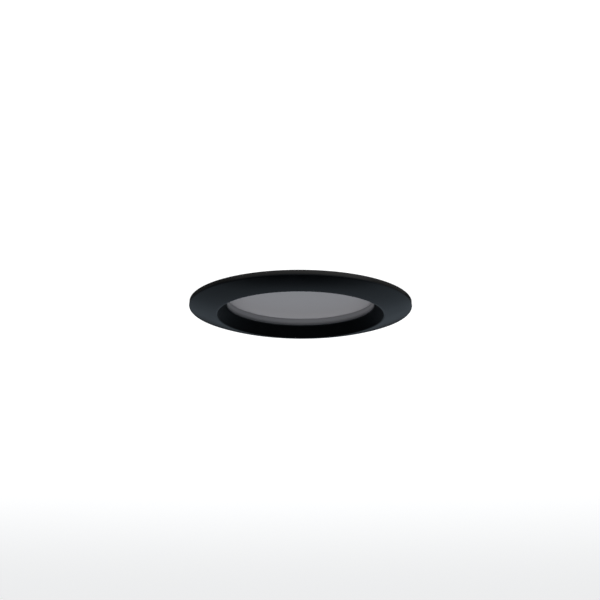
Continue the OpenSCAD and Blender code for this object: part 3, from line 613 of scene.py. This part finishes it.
def pan_screw(d, length, head=1.8):
    """A screw along Z with its head's seat at z = 0. The top is a ball of radius 1.6 d. Within
    the cross it is lower by deep (1 - slope m / reach), with m the distance along the arm."""
    head_h, head_r = 0.7 * d, head / 2 * d
    half, wall, reach, deep = 0.125 * d, 0.035 * d, 0.5 * d, 0.42 * d
    rim, ball, slope = 0.96 * head_r, 1.6 * d, 0.6
    sizes = [
        rim, (rim + 2 * reach) / 3, (rim + 5 * reach) / 6, reach, reach - wall, 0.6 * reach,
        half, half - wall, 0,
    ]
    x, y, across = square_rings(sizes, half, wall, reach, rim)
    m = np.array(sizes)[:, None]
    dome = head_h - ball + np.sqrt(ball**2 - x**2 - y**2)
    in_cross = (m < reach) & ((across < half - TINY) | (m < half - TINY))
    top = np.stack([x, y, dome - np.where(in_cross, deep * (1 - slope * m / reach), 0)], axis=-1)
    cosine, sine = x[0] / rim, y[0] / rim
    edge = dome[0].mean()
    lower = [  # the shank and the side of the head, as (radius, height)
        (0, -length), (0.42 * d, -length), (0.5 * d, -length + 0.3), (0.5 * d, 0),
        (head_r - 0.04 * d, 0), (head_r, 0.04 * d), (head_r, edge - 0.07 * d),
        (head_r - 0.012 * d, edge - 0.025 * d),
    ]
    rings = np.array([np.stack([r * cosine, r * sine, z + 0 * sine], axis=-1) for r, z in lower])
    return np.concatenate([rings, top])


# %% Place the screws
def placed(grid, axis, at, turn=0.0):
    """The grid with its Z turned to an axis, then moved."""
    way = Vector(axis).to_track_quat("Z", "Y") @ Quaternion((0, 0, 1), turn)
    return grid @ np.array(way.to_matrix()).T + np.asarray(at)


def ring_of_screws(name, grid, radius, z, nodes):
    """Four screws between the axes, each with its cross turned another way."""
    angles = np.radians([45, 135, 225, 315])
    grids = [
        placed(grid, (0, 0, 1), (radius * np.cos(a), radius * np.sin(a), z), 1.7 * a)
        for a in angles
    ]
    dress(skin(name, grids, sharp=30), zinc_screw, nodes=nodes)


zinc_screw = finish(
    "zinc_screw", dark=(0.50, 0.51, 0.53), light=(0.62, 0.63, 0.65), rough=(0.28, 0.38),
    metallic=1.0, patch_mm=1.5, grain_mm=0.12, lift_mm=0.003,
)
ring_of_screws("trim_fixing_screws", pan_screw(2.0, 12.1), 34.75, SKIRT_TOP, ["bezel_screws"])
ring_of_screws("cover_fixing_screws", pan_screw(3.0, 7.3), 27.0, 40.5, ["rear_cover_screws"])
BRACKET_FACE_X, BRACKET_SCREW_Z = 30.6059, 19.1
bracket_screw = pan_screw(3.0, 3.8, 1.5)
bracket_fixings = skin("bracket_fixing_screws", [
    placed(bracket_screw, (way, 0, 0), (way * BRACKET_FACE_X, 0, BRACKET_SCREW_Z), 0.4 * way)
    for way in (1, -1)
], sharp=30)
dress(bracket_fixings, zinc_screw, nodes=["bracket_screws"])

# %% [markdown]
# ## Cable gland
# The gland is moulded in black nylon: a hexagon body, a clamping nut with fine grip ribs
# round its crown, and a rubber seal inside that grips the cable. A hexagon is only a radius
# that depends on the angle. So body and nut need no Boolean cuts, which leave ragged faces,
# and come from the same kind of section as the round pieces.


# %% Sections of the gland
def hexagon(angle, flats):
    """Radius of a hexagon: (flats / 2) / cos of the angle from the nearest flat, where flats is
    its width across the flats."""
    return flats / 2 / np.cos((angle + np.pi / 6) % (np.pi / 3) - np.pi / 6)


def gland_piece(name, section, steps=240):
    """A closed section of rows (radius or a function of the angle, z), carried round Z."""
    a = np.linspace(0, 2 * np.pi, steps, endpoint=False)
    radius = np.array([r(a) if callable(r) else np.full(steps, r) for r, _ in section])
    grid = polar(radius, a, np.array([[z] for _, z in section]))
    return skin(name, grid, wrap_rows=True, sharp=30)


def hex_rows(low, high, flats=15.0, bevel=0.7):
    """A hexagon whose six corners are turned off at both ends, as a nut's are: its radius is
    never more than its corner's less an offset, which grows towards the ends."""
    corner, face = flats / 2 / math.cos(math.pi / 6), flats / 2 - 0.5
    slope, worn = bevel * 0.7, 0.12

    def capped(off):
        return lambda a: np.minimum(hexagon(a, flats), corner - off)

    return [
        (face, low), (capped(bevel), low + 0.05), (capped(worn), low + slope),
        (capped(worn), high - slope), (capped(bevel), high - 0.05), (face, high),
    ]


def ribbed(radius, depth, count=36):
    """Radius less a half wave between ribs: depth (1 - |cos(count a / 2)|)."""
    return lambda a: radius - depth * (1 - np.abs(np.cos(count * a / 2)))


# %% Gland
NUT_DOME, NUT_DOME_R, RIB = (3.9, 53.5), 3, 0.22
nylon = finish(
    "black_nylon", dark=(0.012, 0.012, 0.013), light=(0.021, 0.021, 0.022), rough=(0.38, 0.50),
    patch_mm=4, grain_mm=0.22, lift_mm=0.008,
)
gland_body = gland_piece("gland_hexagon_body", [
    (3.5, 34.6), (5.8, 34.6), (6.0, 34.9), (6.0, 42.1), *hex_rows(42.1, 46.1), (6.0, 46.1),
    (6.0, 51.9), (5.8, 52.1), (4.9, 52.1), (4.7, 51.9), (4.7, 45.6), (3.5, 45.6),
])
dress(gland_body, nylon, nodes=["gland_body"])
nut_dome = [
    (ribbed(NUT_DOME[0] + NUT_DOME_R * math.cos(t), RIB * math.cos(t)),
     NUT_DOME[1] + NUT_DOME_R * math.sin(t))
    for t in np.radians([0, 15, 30, 45, 60, 75, 88])
]
gland_nut = gland_piece("gland_clamping_nut", [
    (6.1, 46.5), *hex_rows(46.5, 51.0), (ribbed(6.9, 0.0), 51.05), (ribbed(6.9, RIB), 51.6),
    *nut_dome, (4.1, 56.5), (3.8, 56.3), (3.8, 53.3), (6.1, 53.3),
], steps=432)
dress(gland_nut, nylon, nodes=["gland_nut"])
gland_seal = lathe("gland_cable_seal", corner_points(
    [(3.2, 45.6), (4.6, 45.6), (4.6, 52.1), (3.9, 53.1), (3.2, 53.1)],
    [0.1, 0.2, 0.3, 0.2, 0.3], 3,
), steps=96)
dress(gland_seal, rubber, nodes=["gland_seal"])

# %% [markdown]
# ## Clip sheet metal
# Brackets and arms are blanked and folded from zinc plated strip. Their shape is right in
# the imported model, but a real blank never has a perfectly sharp edge: the press rounds it.
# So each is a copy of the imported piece, its loose triangles joined into clean faces, with a
# small bevel on every sharp edge that catches a thin line of light.


# %% Copies with eased edges
EDGE_ANGLE = math.radians(30)  # an edge sharper than this is eased
JOIN_WITHIN = 2e-6  # metres


def eased(name, source, width_mm, segments=2):
    """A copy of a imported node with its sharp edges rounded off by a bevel. Triangles within half
    a degree of each other first become one flat face."""
    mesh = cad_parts[source].data.copy()
    mesh.name = name
    work = bmesh.new()
    work.from_mesh(mesh)
    bmesh.ops.remove_doubles(work, verts=work.verts, dist=JOIN_WITHIN)
    bmesh.ops.dissolve_limit(
        work, angle_limit=math.radians(0.5), verts=work.verts, edges=work.edges
    )
    bmesh.ops.recalc_face_normals(work, faces=work.faces)
    work.to_mesh(mesh)
    work.free()
    mesh.shade_smooth()
    mesh.set_sharp_from_angle(angle=EDGE_ANGLE)
    piece = add_object(name, mesh)
    bevel = piece.modifiers.new("pressed_edge", "BEVEL")
    bevel.width, bevel.segments = width_mm * MM, segments
    bevel.limit_method, bevel.angle_limit = "ANGLE", EDGE_ANGLE
    return piece


# %% Sheet metal, pins and retainers
zinc_sheet = finish(
    "zinc_sheet", dark=(0.40, 0.41, 0.43), light=(0.53, 0.54, 0.56), rough=(0.34, 0.48),
    metallic=0.95, patch_mm=2.2, grain_mm=0.25, lift_mm=0.006, stretch=(1, 0.35, 1),
)
spring_steel = finish(
    "spring_steel", dark=(0.26, 0.27, 0.29), light=(0.38, 0.39, 0.41), rough=(0.28, 0.36),
    metallic=1.0, patch_mm=1.2, grain_mm=0.12, lift_mm=0.003,
)
for side in ("right", "left"):
    bracket = eased(f"{side}_folded_bracket", f"{side}_clip_bracket", 0.12)
    dress(bracket, zinc_sheet, nodes=[f"{side}_clip_bracket"])
    arm = eased(f"{side}_folded_arm", f"{side}_clip_arm", 0.1)
    dress(arm, zinc_sheet, body=f"{side}_clip", nodes=[f"{side}_clip_arm"])
    pin = eased(f"{side}_pivot_pin", f"{side}_clip_pin", 0.15)
    dress(pin, spring_steel, nodes=[f"{side}_clip_pin"])
retainers = eased("push_on_retainers", "pin_retainers", 0.08)
dress(retainers, spring_steel, nodes=["pin_retainers"])

# %% [markdown]
# ## Soft sleeves
# A soft sleeve on each arm's tip keeps the metal off the ceiling board. It is dipped or
# pushed on, so all of its edges are round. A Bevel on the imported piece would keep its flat
# faces, so a rounded section is carried along the arm's middle line instead, and drawn in
# to nothing at both ends.

# %% From the pivot to the object
PIVOT = np.array([33.0059, 0, 13.5])
REST_TILT = math.radians(19)  # how far the arm points down at rest


def turned_by(points, angle):
    """Points turned about Y: (x cos a + z sin a, y, z cos a - x sin a)."""
    c, s = math.cos(angle), math.sin(angle)
    x, y, z = points[..., 0], points[..., 1], points[..., 2]
    return np.stack([x * c + z * s, y, z * c - x * s], axis=-1)


def on_side(points, side):
    """From the right pivot's frame to the object: the left side is turned half round Z."""
    moved = points + PIVOT
    return moved if side == "right" else moved * np.array([-1, -1, 1])


# %% Sleeves
HALF_W, HALF_T, TIP_R = 5.75, 1.15, 3  # half width, half thickness, radius of the turned-up tip
sleeve_stuff = finish(
    "soft_sleeve", dark=(0.016, 0.016, 0.017), light=(0.026, 0.026, 0.027), rough=(0.42, 0.55),
    patch_mm=3, grain_mm=0.2, lift_mm=0.005,
)


def sleeve_grid():
    """The middle line is straight, rises by 5 degrees, then turns up along a circle of radius
    TIP_R. At a place on it the section is |y / a|^n + |t / b|^n = 1 with n = 6, a rounded
    oblong with half sizes a and b, drawn in at both ends."""
    bend = math.radians(5)
    root, tip = np.array([17.0266, -1.96027]), np.array([24.0, -1.35018])
    centre = tip + TIP_R * np.array([-math.sin(bend), math.cos(bend)])
    straight = root + np.linspace(0, 1, 10)[:, None] * (tip - root)
    around = arc(centre, TIP_R, -85, -30, 14)[1:]
    last = np.array([math.cos(math.radians(60)), math.sin(math.radians(60))])
    run_out = around[-1] + np.outer([0.25, 0.5, 0.65, 0.74, 0.75], last)
    path = np.concatenate([[straight[0]] * 3, straight, around, run_out])
    along = np.gradient(path, axis=0)
    along[:3] = along[3] = tip - root
    along[-5:] = last
    along /= np.linalg.norm(along, axis=1, keepdims=True)
    inset = np.zeros(len(path))
    inset[:3], inset[-5:] = [HALF_T, 0.5, 0.12], [0.05, 0.22, 0.5, 0.9, HALF_T]
    a = np.linspace(0, 2 * np.pi, 56, endpoint=False)
    c, s = np.cos(a), np.sin(a)
    power = 2 / 6
    wide = (HALF_W - inset)[:, None] * np.sign(c) * np.abs(c) ** power
    thick = (HALF_T - inset)[:, None] * np.sign(s) * np.abs(s) ** power
    x = path[:, :1] - along[:, 1:] * thick
    z = path[:, 1:] + along[:, :1] * thick
    return np.stack([x, wide, z], axis=-1)


for side in ("right", "left"):
    grid = on_side(turned_by(sleeve_grid(), REST_TILT), side)
    sleeve = skin(f"{side}_soft_sleeve", grid, sharp=50)
    nodes = [f"{side}_clip_sleeve"]
    dress(sleeve, sleeve_stuff, body=f"{side}_clip", nodes=nodes)

# %% [markdown]
# ## Springs
# Each spring is round wire: one leg stands against the bracket, five turns wrap the pin,
# and the other leg presses along the arm. A curve with a round bevel could draw it, but a
# grid, a circle carried along a line, also gets an exact map for the grain along the wire.


# %% The wire's line and its tube
COIL_R, COIL_HALF, WIRE_R = 1.9, 3.378, 0.4
FIRST_ANGLE, COIL_ANGLE = 180, 1871  # degrees


def spring_line():
    """The wire's middle line and the direction away from the coil: the angle is FIRST_ANGLE +
    COIL_ANGLE t, the radius COIL_R, and y runs from -COIL_HALF to COIL_HALF, with a straight
    leg at each end."""
    t = np.linspace(0, 1, 210)
    a = np.radians(FIRST_ANGLE + COIL_ANGLE * t)
    away = np.stack([np.cos(a), 0 * a, np.sin(a)], axis=1)
    coil = COIL_R * away + np.outer(-COIL_HALF + 2 * COIL_HALF * t, [0, 1, 0])
    up, out = np.array([0, 0, 1]), np.array([math.cos(REST_TILT), 0, -math.sin(REST_TILT)])
    first = coil[0] + np.outer([5.5, 4, 2.5, 1.2, 0.4], up)
    last = coil[-1] + np.outer([0.4, 1.2, 2.5, 4, 5.2, 6.5], out)
    line = np.concatenate([first, coil, last])
    return line, np.concatenate([[away[0]] * 5, away, [away[-1]] * 6])


def tube(line, away, radius, around=14):
    """A round tube: line + radius (cos a away + sin a side), with side square to both the line
    and away. Three smaller circles close each end flat. Its own map is the length along it
    and the length round it."""
    along = np.gradient(line, axis=0)
    along /= np.linalg.norm(along, axis=1, keepdims=True)
    side = np.cross(along, away)
    side /= np.linalg.norm(side, axis=1, keepdims=True)
    end = np.array([0, 0.6, 0.9])
    shrink = np.concatenate([end, np.ones(len(line)), end[::-1]])[:, None, None] * radius
    line, away, side = (
        np.concatenate([[v[0]] * len(end), v, [v[-1]] * len(end)]) for v in (line, away, side)
    )
    a = np.linspace(0, 2 * np.pi, around, endpoint=False)
    c, s = np.cos(a)[None, :, None], np.sin(a)[None, :, None]
    grid = line[:, None] + shrink * (c * away[:, None] + s * side[:, None])
    length = np.concatenate([[0], np.cumsum(np.linalg.norm(np.diff(line, axis=0), axis=1))])
    round_it = np.linspace(0, 2 * np.pi * radius, around, endpoint=False)
    u, v = np.meshgrid(length, round_it, indexing="ij")
    return grid, np.stack([u, v], axis=-1)


# %% Springs
wire = finish(
    "spring_wire", dark=(0.24, 0.25, 0.27), light=(0.38, 0.39, 0.41), rough=(0.28, 0.36),
    metallic=1.0, patch_mm=1.6, grain_mm=0.1, lift_mm=0.002, stretch=(0.2, 1, 1),
    coordinates="UV",
)
for side in ("right", "left"):
    grid, uv = tube(*spring_line(), WIRE_R)
    spring = skin(f"{side}_torsion_spring", on_side(grid, side), sharp=60, uv=uv)
    dress(spring, wire, body=None, nodes=[f"{side}_clip_spring"])
    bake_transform(spring)

# %% [markdown]
# ## What is inside
# The light engine and the driver are closed in, but a model that is opened or seen cut
# through shows them. They could be built anew, but their shapes are right in the packed
# model, so they keep them and only get finishes: solder mask over copper, phosphor,
# laminate, sleeving and ferrite.

# %% Finishes of the inner pieces
INNER_FINISHES = {  # dark, light, roughness, then patch, grain and lift in mm
    "white_plastic": ((0.70, 0.70, 0.68), (0.78, 0.78, 0.765), (0.42, 0.55), 6, 0.2, 0.004),
    "white_solder_mask": ((0.72, 0.73, 0.72), (0.80, 0.80, 0.79), (0.30, 0.42), 3, 0.15, 0.003),
    "phosphor": ((0.74, 0.55, 0.10), (0.86, 0.68, 0.16), (0.50, 0.64), 0.9, 0.1, 0.006),
    "heat_pad": ((0.26, 0.32, 0.40), (0.33, 0.39, 0.47), (0.70, 0.82), 2, 0.2, 0.01),
    "red_lead": ((0.38, 0.012, 0.010), (0.50, 0.022, 0.016), (0.34, 0.46), 2, 0.15, 0.004),
    "black_lead": ((0.010, 0.010, 0.011), (0.018, 0.018, 0.019), (0.34, 0.46), 2, 0.15, 0.004),
    "liner_plastic": ((0.62, 0.58, 0.46), (0.71, 0.68, 0.56), (0.40, 0.52), 5, 0.2, 0.004),
    "green_laminate": ((0.012, 0.10, 0.035), (0.020, 0.15, 0.055), (0.26, 0.38), 2.4, 0.3, 0.006),
    "capacitor_sleeve": (
        (0.014, 0.025, 0.095), (0.022, 0.037, 0.135), (0.24, 0.34), 2, 0.15, 0.003
    ),
    "ferrite": ((0.030, 0.030, 0.032), (0.052, 0.052, 0.055), (0.50, 0.66), 1.5, 0.15, 0.01),
}
inner = {
    name: finish(name, dark, light, rough, patch_mm=patch, grain_mm=grain, lift_mm=lift)
    for name, (dark, light, rough, patch, grain, lift) in INNER_FINISHES.items()
}
print(len(inner), "inner finishes made")

# %% Dress the inner pieces
inner.update({"zinc_screw": zinc_screw, "rubber": rubber, "nylon": nylon})
INNER_PIECES = {
    "white_plastic": ["reflector", "led_connector", "mains_terminal"],
    "white_solder_mask": ["led_board"], "phosphor": ["led_packages"],
    "heat_pad": ["thermal_pad"], "red_lead": ["led_lead_positive"],
    "black_lead": ["led_lead_negative"], "liner_plastic": ["driver_liner"],
    "green_laminate": ["driver_board"], "capacitor_sleeve": ["smoothing_capacitor"],
    "ferrite": ["power_inductor"], "zinc_screw": ["led_board_screws", "terminal_screws"],
    "rubber": ["lead_grommet", "rear_cover_seal"],
    "nylon": ["rectifier", "driver_ic", "gland_lock_nut"],
}
for finish_name, pieces in INNER_PIECES.items():
    for place in [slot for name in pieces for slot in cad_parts[name].material_slots]:
        place.material = inner[finish_name]
print(sum(map(len, INNER_PIECES.values())), "inner pieces dressed")

# %% [markdown]
# ## Plain soft studio
# Black gloss shows what is around it more than what lights it. A picture of a studio could
# be wrapped round the scene, but a few stops of grey by height do the same and can be
# read. From the camera the ring's face mirrors the far side, and the rim's wall and the far
# lip mirror the near side, so each side has its own stops. The dark stops far below give
# the black band on the face. The camera sees plain white, and so do metal and clear pieces
# where they mirror what is high above. The lamps light colours but aren't mirrored, so no
# bright sheet shows on gloss.

# %% Light of the world
FAR_SIDE = [  # sine of the height above the horizon, brightness, blueness
    (-1.0, 0.05, 0.1), (-0.94, 0.01, 0.1), (-0.87, 0.0, 0.1), (-0.80, 0.035, 0.17),
    (-0.70, 0.13, 0.17), (-0.63, 0.20, 0.17), (-0.55, 0.158, 0.17), (-0.47, 0.172, 0.17),
    (-0.40, 0.162, 0.17), (-0.33, 0.195, 0.17), (-0.20, 0.19, 0.17), (-0.10, 0.18, 0.17),
    (0.0, 0.047, 0.1), (0.10, 0.041, 0.1),
    (0.20, 0.062, 0.1), (0.30, 0.06, 0.02), (0.42, 0.15, 0.0), (0.62, 0.85, 0.0),
]
NEAR_SIDE = [
    (-1.0, 0.05, 0.1), (-0.96, 0.07, 0.1), (-0.88, 0.25, 0.14), (-0.70, 0.28, 0.14),
    (-0.50, 0.16, 0.17), (-0.20, 0.15, 0.17), (0.0, 0.08, 0.1), (0.12, 0.16, 0.05),
    (0.20, 0.32, 0.02), (0.30, 0.34, 0.0), (0.42, 0.40, 0.0), (0.62, 0.85, 0.0),
]
SIDES_MEET = (-0.10, -0.50)  # from all far side to all near side, by the direction's Y
WHITE_ABOVE = (0.45, 0.65)  # sines of the height between which mirrors turn to white
BRIGHTER_RIGHT = 0.45  # how much the studio's light grows towards its right side
print(len(FAR_SIDE), "stops far and", len(NEAR_SIDE), "near")


# %% World
FIRST, SECOND, MIXED = 6, 7, 2  # a colour Mix node's two inputs and its output


def sky(tree, height, stops):
    """Brightness by height: a ramp over the sine of the height, from -1 to 1. A stop's blueness
    takes that share from its red and adds it to its blue."""
    return ramped(tree, spread(tree, height, 0, 1, (-1, 1)), [
        ((sine + 1) / 2, (level * (1 - tint), level, level * (1 + tint)))
        for sine, level, tint in stops
    ])


def joined(tree, operation, *values):
    """The result of a Math node on numbers and other nodes' outputs."""
    made = node(tree, "Math", operation=operation)
    for socket, value in zip(made.inputs, values):
        if isinstance(value, (int, float)):
            socket.default_value = value
        else:
            tree.links.new(value, socket)
    return made.outputs["Value"]


def make_world():
    """The colour in a direction is the sky of its side, grown by BRIGHTER_RIGHT times its X. It
    is white for the camera, and for glossy and clear rays that go well upwards."""
    world = bpy.data.worlds.new("studio")
    bpy.context.scene.world = world
    world.use_nodes = True
    tree = world.node_tree
    tree.nodes.clear()
    link = tree.links.new
    way = node(tree, "SeparateXYZ")
    link(node(tree, "TexCoord").outputs["Generated"], way.inputs["Vector"])
    around = node(tree, "Mix", data_type="RGBA")
    link(spread(tree, way.outputs["Y"], 0, 1, SIDES_MEET), around.inputs["Factor"])
    link(sky(tree, way.outputs["Z"], FAR_SIDE), around.inputs[FIRST])
    link(sky(tree, way.outputs["Z"], NEAR_SIDE), around.inputs[SECOND])
    sideways = joined(tree, "MULTIPLY_ADD", way.outputs["X"], BRIGHTER_RIGHT, 1.0)
    tilted = node(tree, "VectorMath", operation="SCALE")
    link(around.outputs[MIXED], tilted.inputs[0])
    link(sideways, tilted.inputs["Scale"])
    path = node(tree, "LightPath").outputs
    mirrored = joined(tree, "ADD", path["Is Glossy Ray"], path["Is Transmission Ray"])
    high = spread(tree, way.outputs["Z"], 0, 1, WHITE_ABOVE)
    from_above = joined(tree, "MULTIPLY", mirrored, high)
    white = joined(tree, "MAXIMUM", path["Is Camera Ray"], from_above)
    seen = node(tree, "Mix", data_type="RGBA")
    link(white, seen.inputs["Factor"])
    link(tilted.outputs[0], seen.inputs[FIRST])
    seen.inputs[SECOND].default_value = (1, 1, 1, 1)
    light = node(tree, "Background")
    link(seen.outputs[MIXED], light.inputs["Color"])
    link(light.outputs["Background"], node(tree, "OutputWorld").inputs["Surface"])


make_world()
print("world made")


# %% Lamps
def softbox(name, toward, distance, size, power):
    """An unseen square lamp that stands in a direction from the ring and faces it."""
    data = bpy.data.lights.new(name, "AREA")
    data.size = size
    data.energy = power
    lamp = add_object(name, data)
    way = Vector(toward).normalized()
    lamp.location = way * distance
    lamp.rotation_mode = "QUATERNION"
    lamp.rotation_quaternion = way.to_track_quat("Z", "Y")
    lamp.visible_camera = lamp.visible_glossy = False


LAMPS = {  # direction, distance and size in metres, power in watts
    "lamp_below": ((0.0, -0.1, -1.0), 1.1, 0.8, 6.1),
    "lamp_front_left": ((-0.70, -0.40, -0.75), 1.1, 0.6, 6.2),
    "lamp_front_right": ((0.70, -0.40, -0.75), 1.1, 0.6, 4.9),
    "lamp_above": ((-0.35, -0.45, 1.0), 1.3, 0.9, 10.0),
    "lamp_behind": ((0.75, 0.65, 0.60), 1.3, 1.0, 8.0),
    "lamp_beside": ((-0.90, 0.30, 0.50), 1.3, 1.0, 7.0),
}
for name, (toward, distance, size, power) in LAMPS.items():
    softbox(name, toward, distance, size, power)
    print(name, power, "W")

# %% [markdown]
# ## Soffit and floor
# The light is flush in a white soffit, and a pale floor lies under it. Plain planes would
# do, but a view from above would show only the back of the soffit. So both are discs with
# one visible side, which only the camera sees: the soffit from below, with the hole that
# the ring covers, and the floor from above. Part of their white is their own and part is
# lit, so they are pale and the object's shadow still shows.


# %% Soffit and floor
def backdrop(name, z, hole, reach, facing_down, glow, albedo):
    """A flat ring from radius hole to reach at a height, pale on one side and clear on the
    other. glow is the white of its own and albedo the share of light that it returns."""
    radii = np.array([hole, 60, 90, 150, 400, reach], float)
    grid = turned(np.stack([radii, np.full(len(radii), z)], axis=1), 128)
    piece = skin(name, grid)
    mesh = piece.data
    faces_up = sum(p.normal.z for p in mesh.polygons) > 0
    if faces_up == facing_down:
        mesh.flip_normals()
    material, tree, _ = new_material(name)
    tree.nodes.clear()
    link = tree.links.new
    lit = node(tree, "BsdfDiffuse", Color=(albedo, albedo, albedo, 1))
    own = node(tree, "Emission", Strength=glow)
    both = node(tree, "AddShader")
    link(lit.outputs["BSDF"], both.inputs[0])
    link(own.outputs["Emission"], both.inputs[1])
    one_sided = node(tree, "MixShader")
    link(node(tree, "NewGeometry").outputs["Backfacing"], one_sided.inputs["Fac"])
    link(both.outputs["Shader"], one_sided.inputs[1])
    link(node(tree, "BsdfTransparent").outputs["BSDF"], one_sided.inputs[2])
    link(one_sided.outputs["Shader"], node(tree, "OutputMaterial").inputs["Surface"])
    mesh.materials.append(material)
    piece.visible_diffuse = piece.visible_glossy = piece.visible_shadow = False
    piece.visible_transmission = piece.visible_volume_scatter = False
    print(name, "at z =", round(z, 2), "mm, reaching", reach, "mm")


HOLE_R, SOFFIT_R, FLOOR_R, UNDER = 44.8, 12000, 550, 0.05
backdrop("soffit", 0.0, HOLE_R, SOFFIT_R, True, glow=0.80, albedo=0.35)
backdrop("floor", cad_box[0][2] / MM - UNDER, 0.0, FLOOR_R, False, glow=0.30, albedo=0.66)

# %% [markdown]
# ## Colours
# Blender's usual view bends bright colours as film does. A product's colours should reach
# the picture as written, so the plain view is chosen.

# %% Colours go to the picture as they are
bpy.context.scene.view_settings.view_transform = "Standard"
print("view:", bpy.context.scene.view_settings.view_transform)
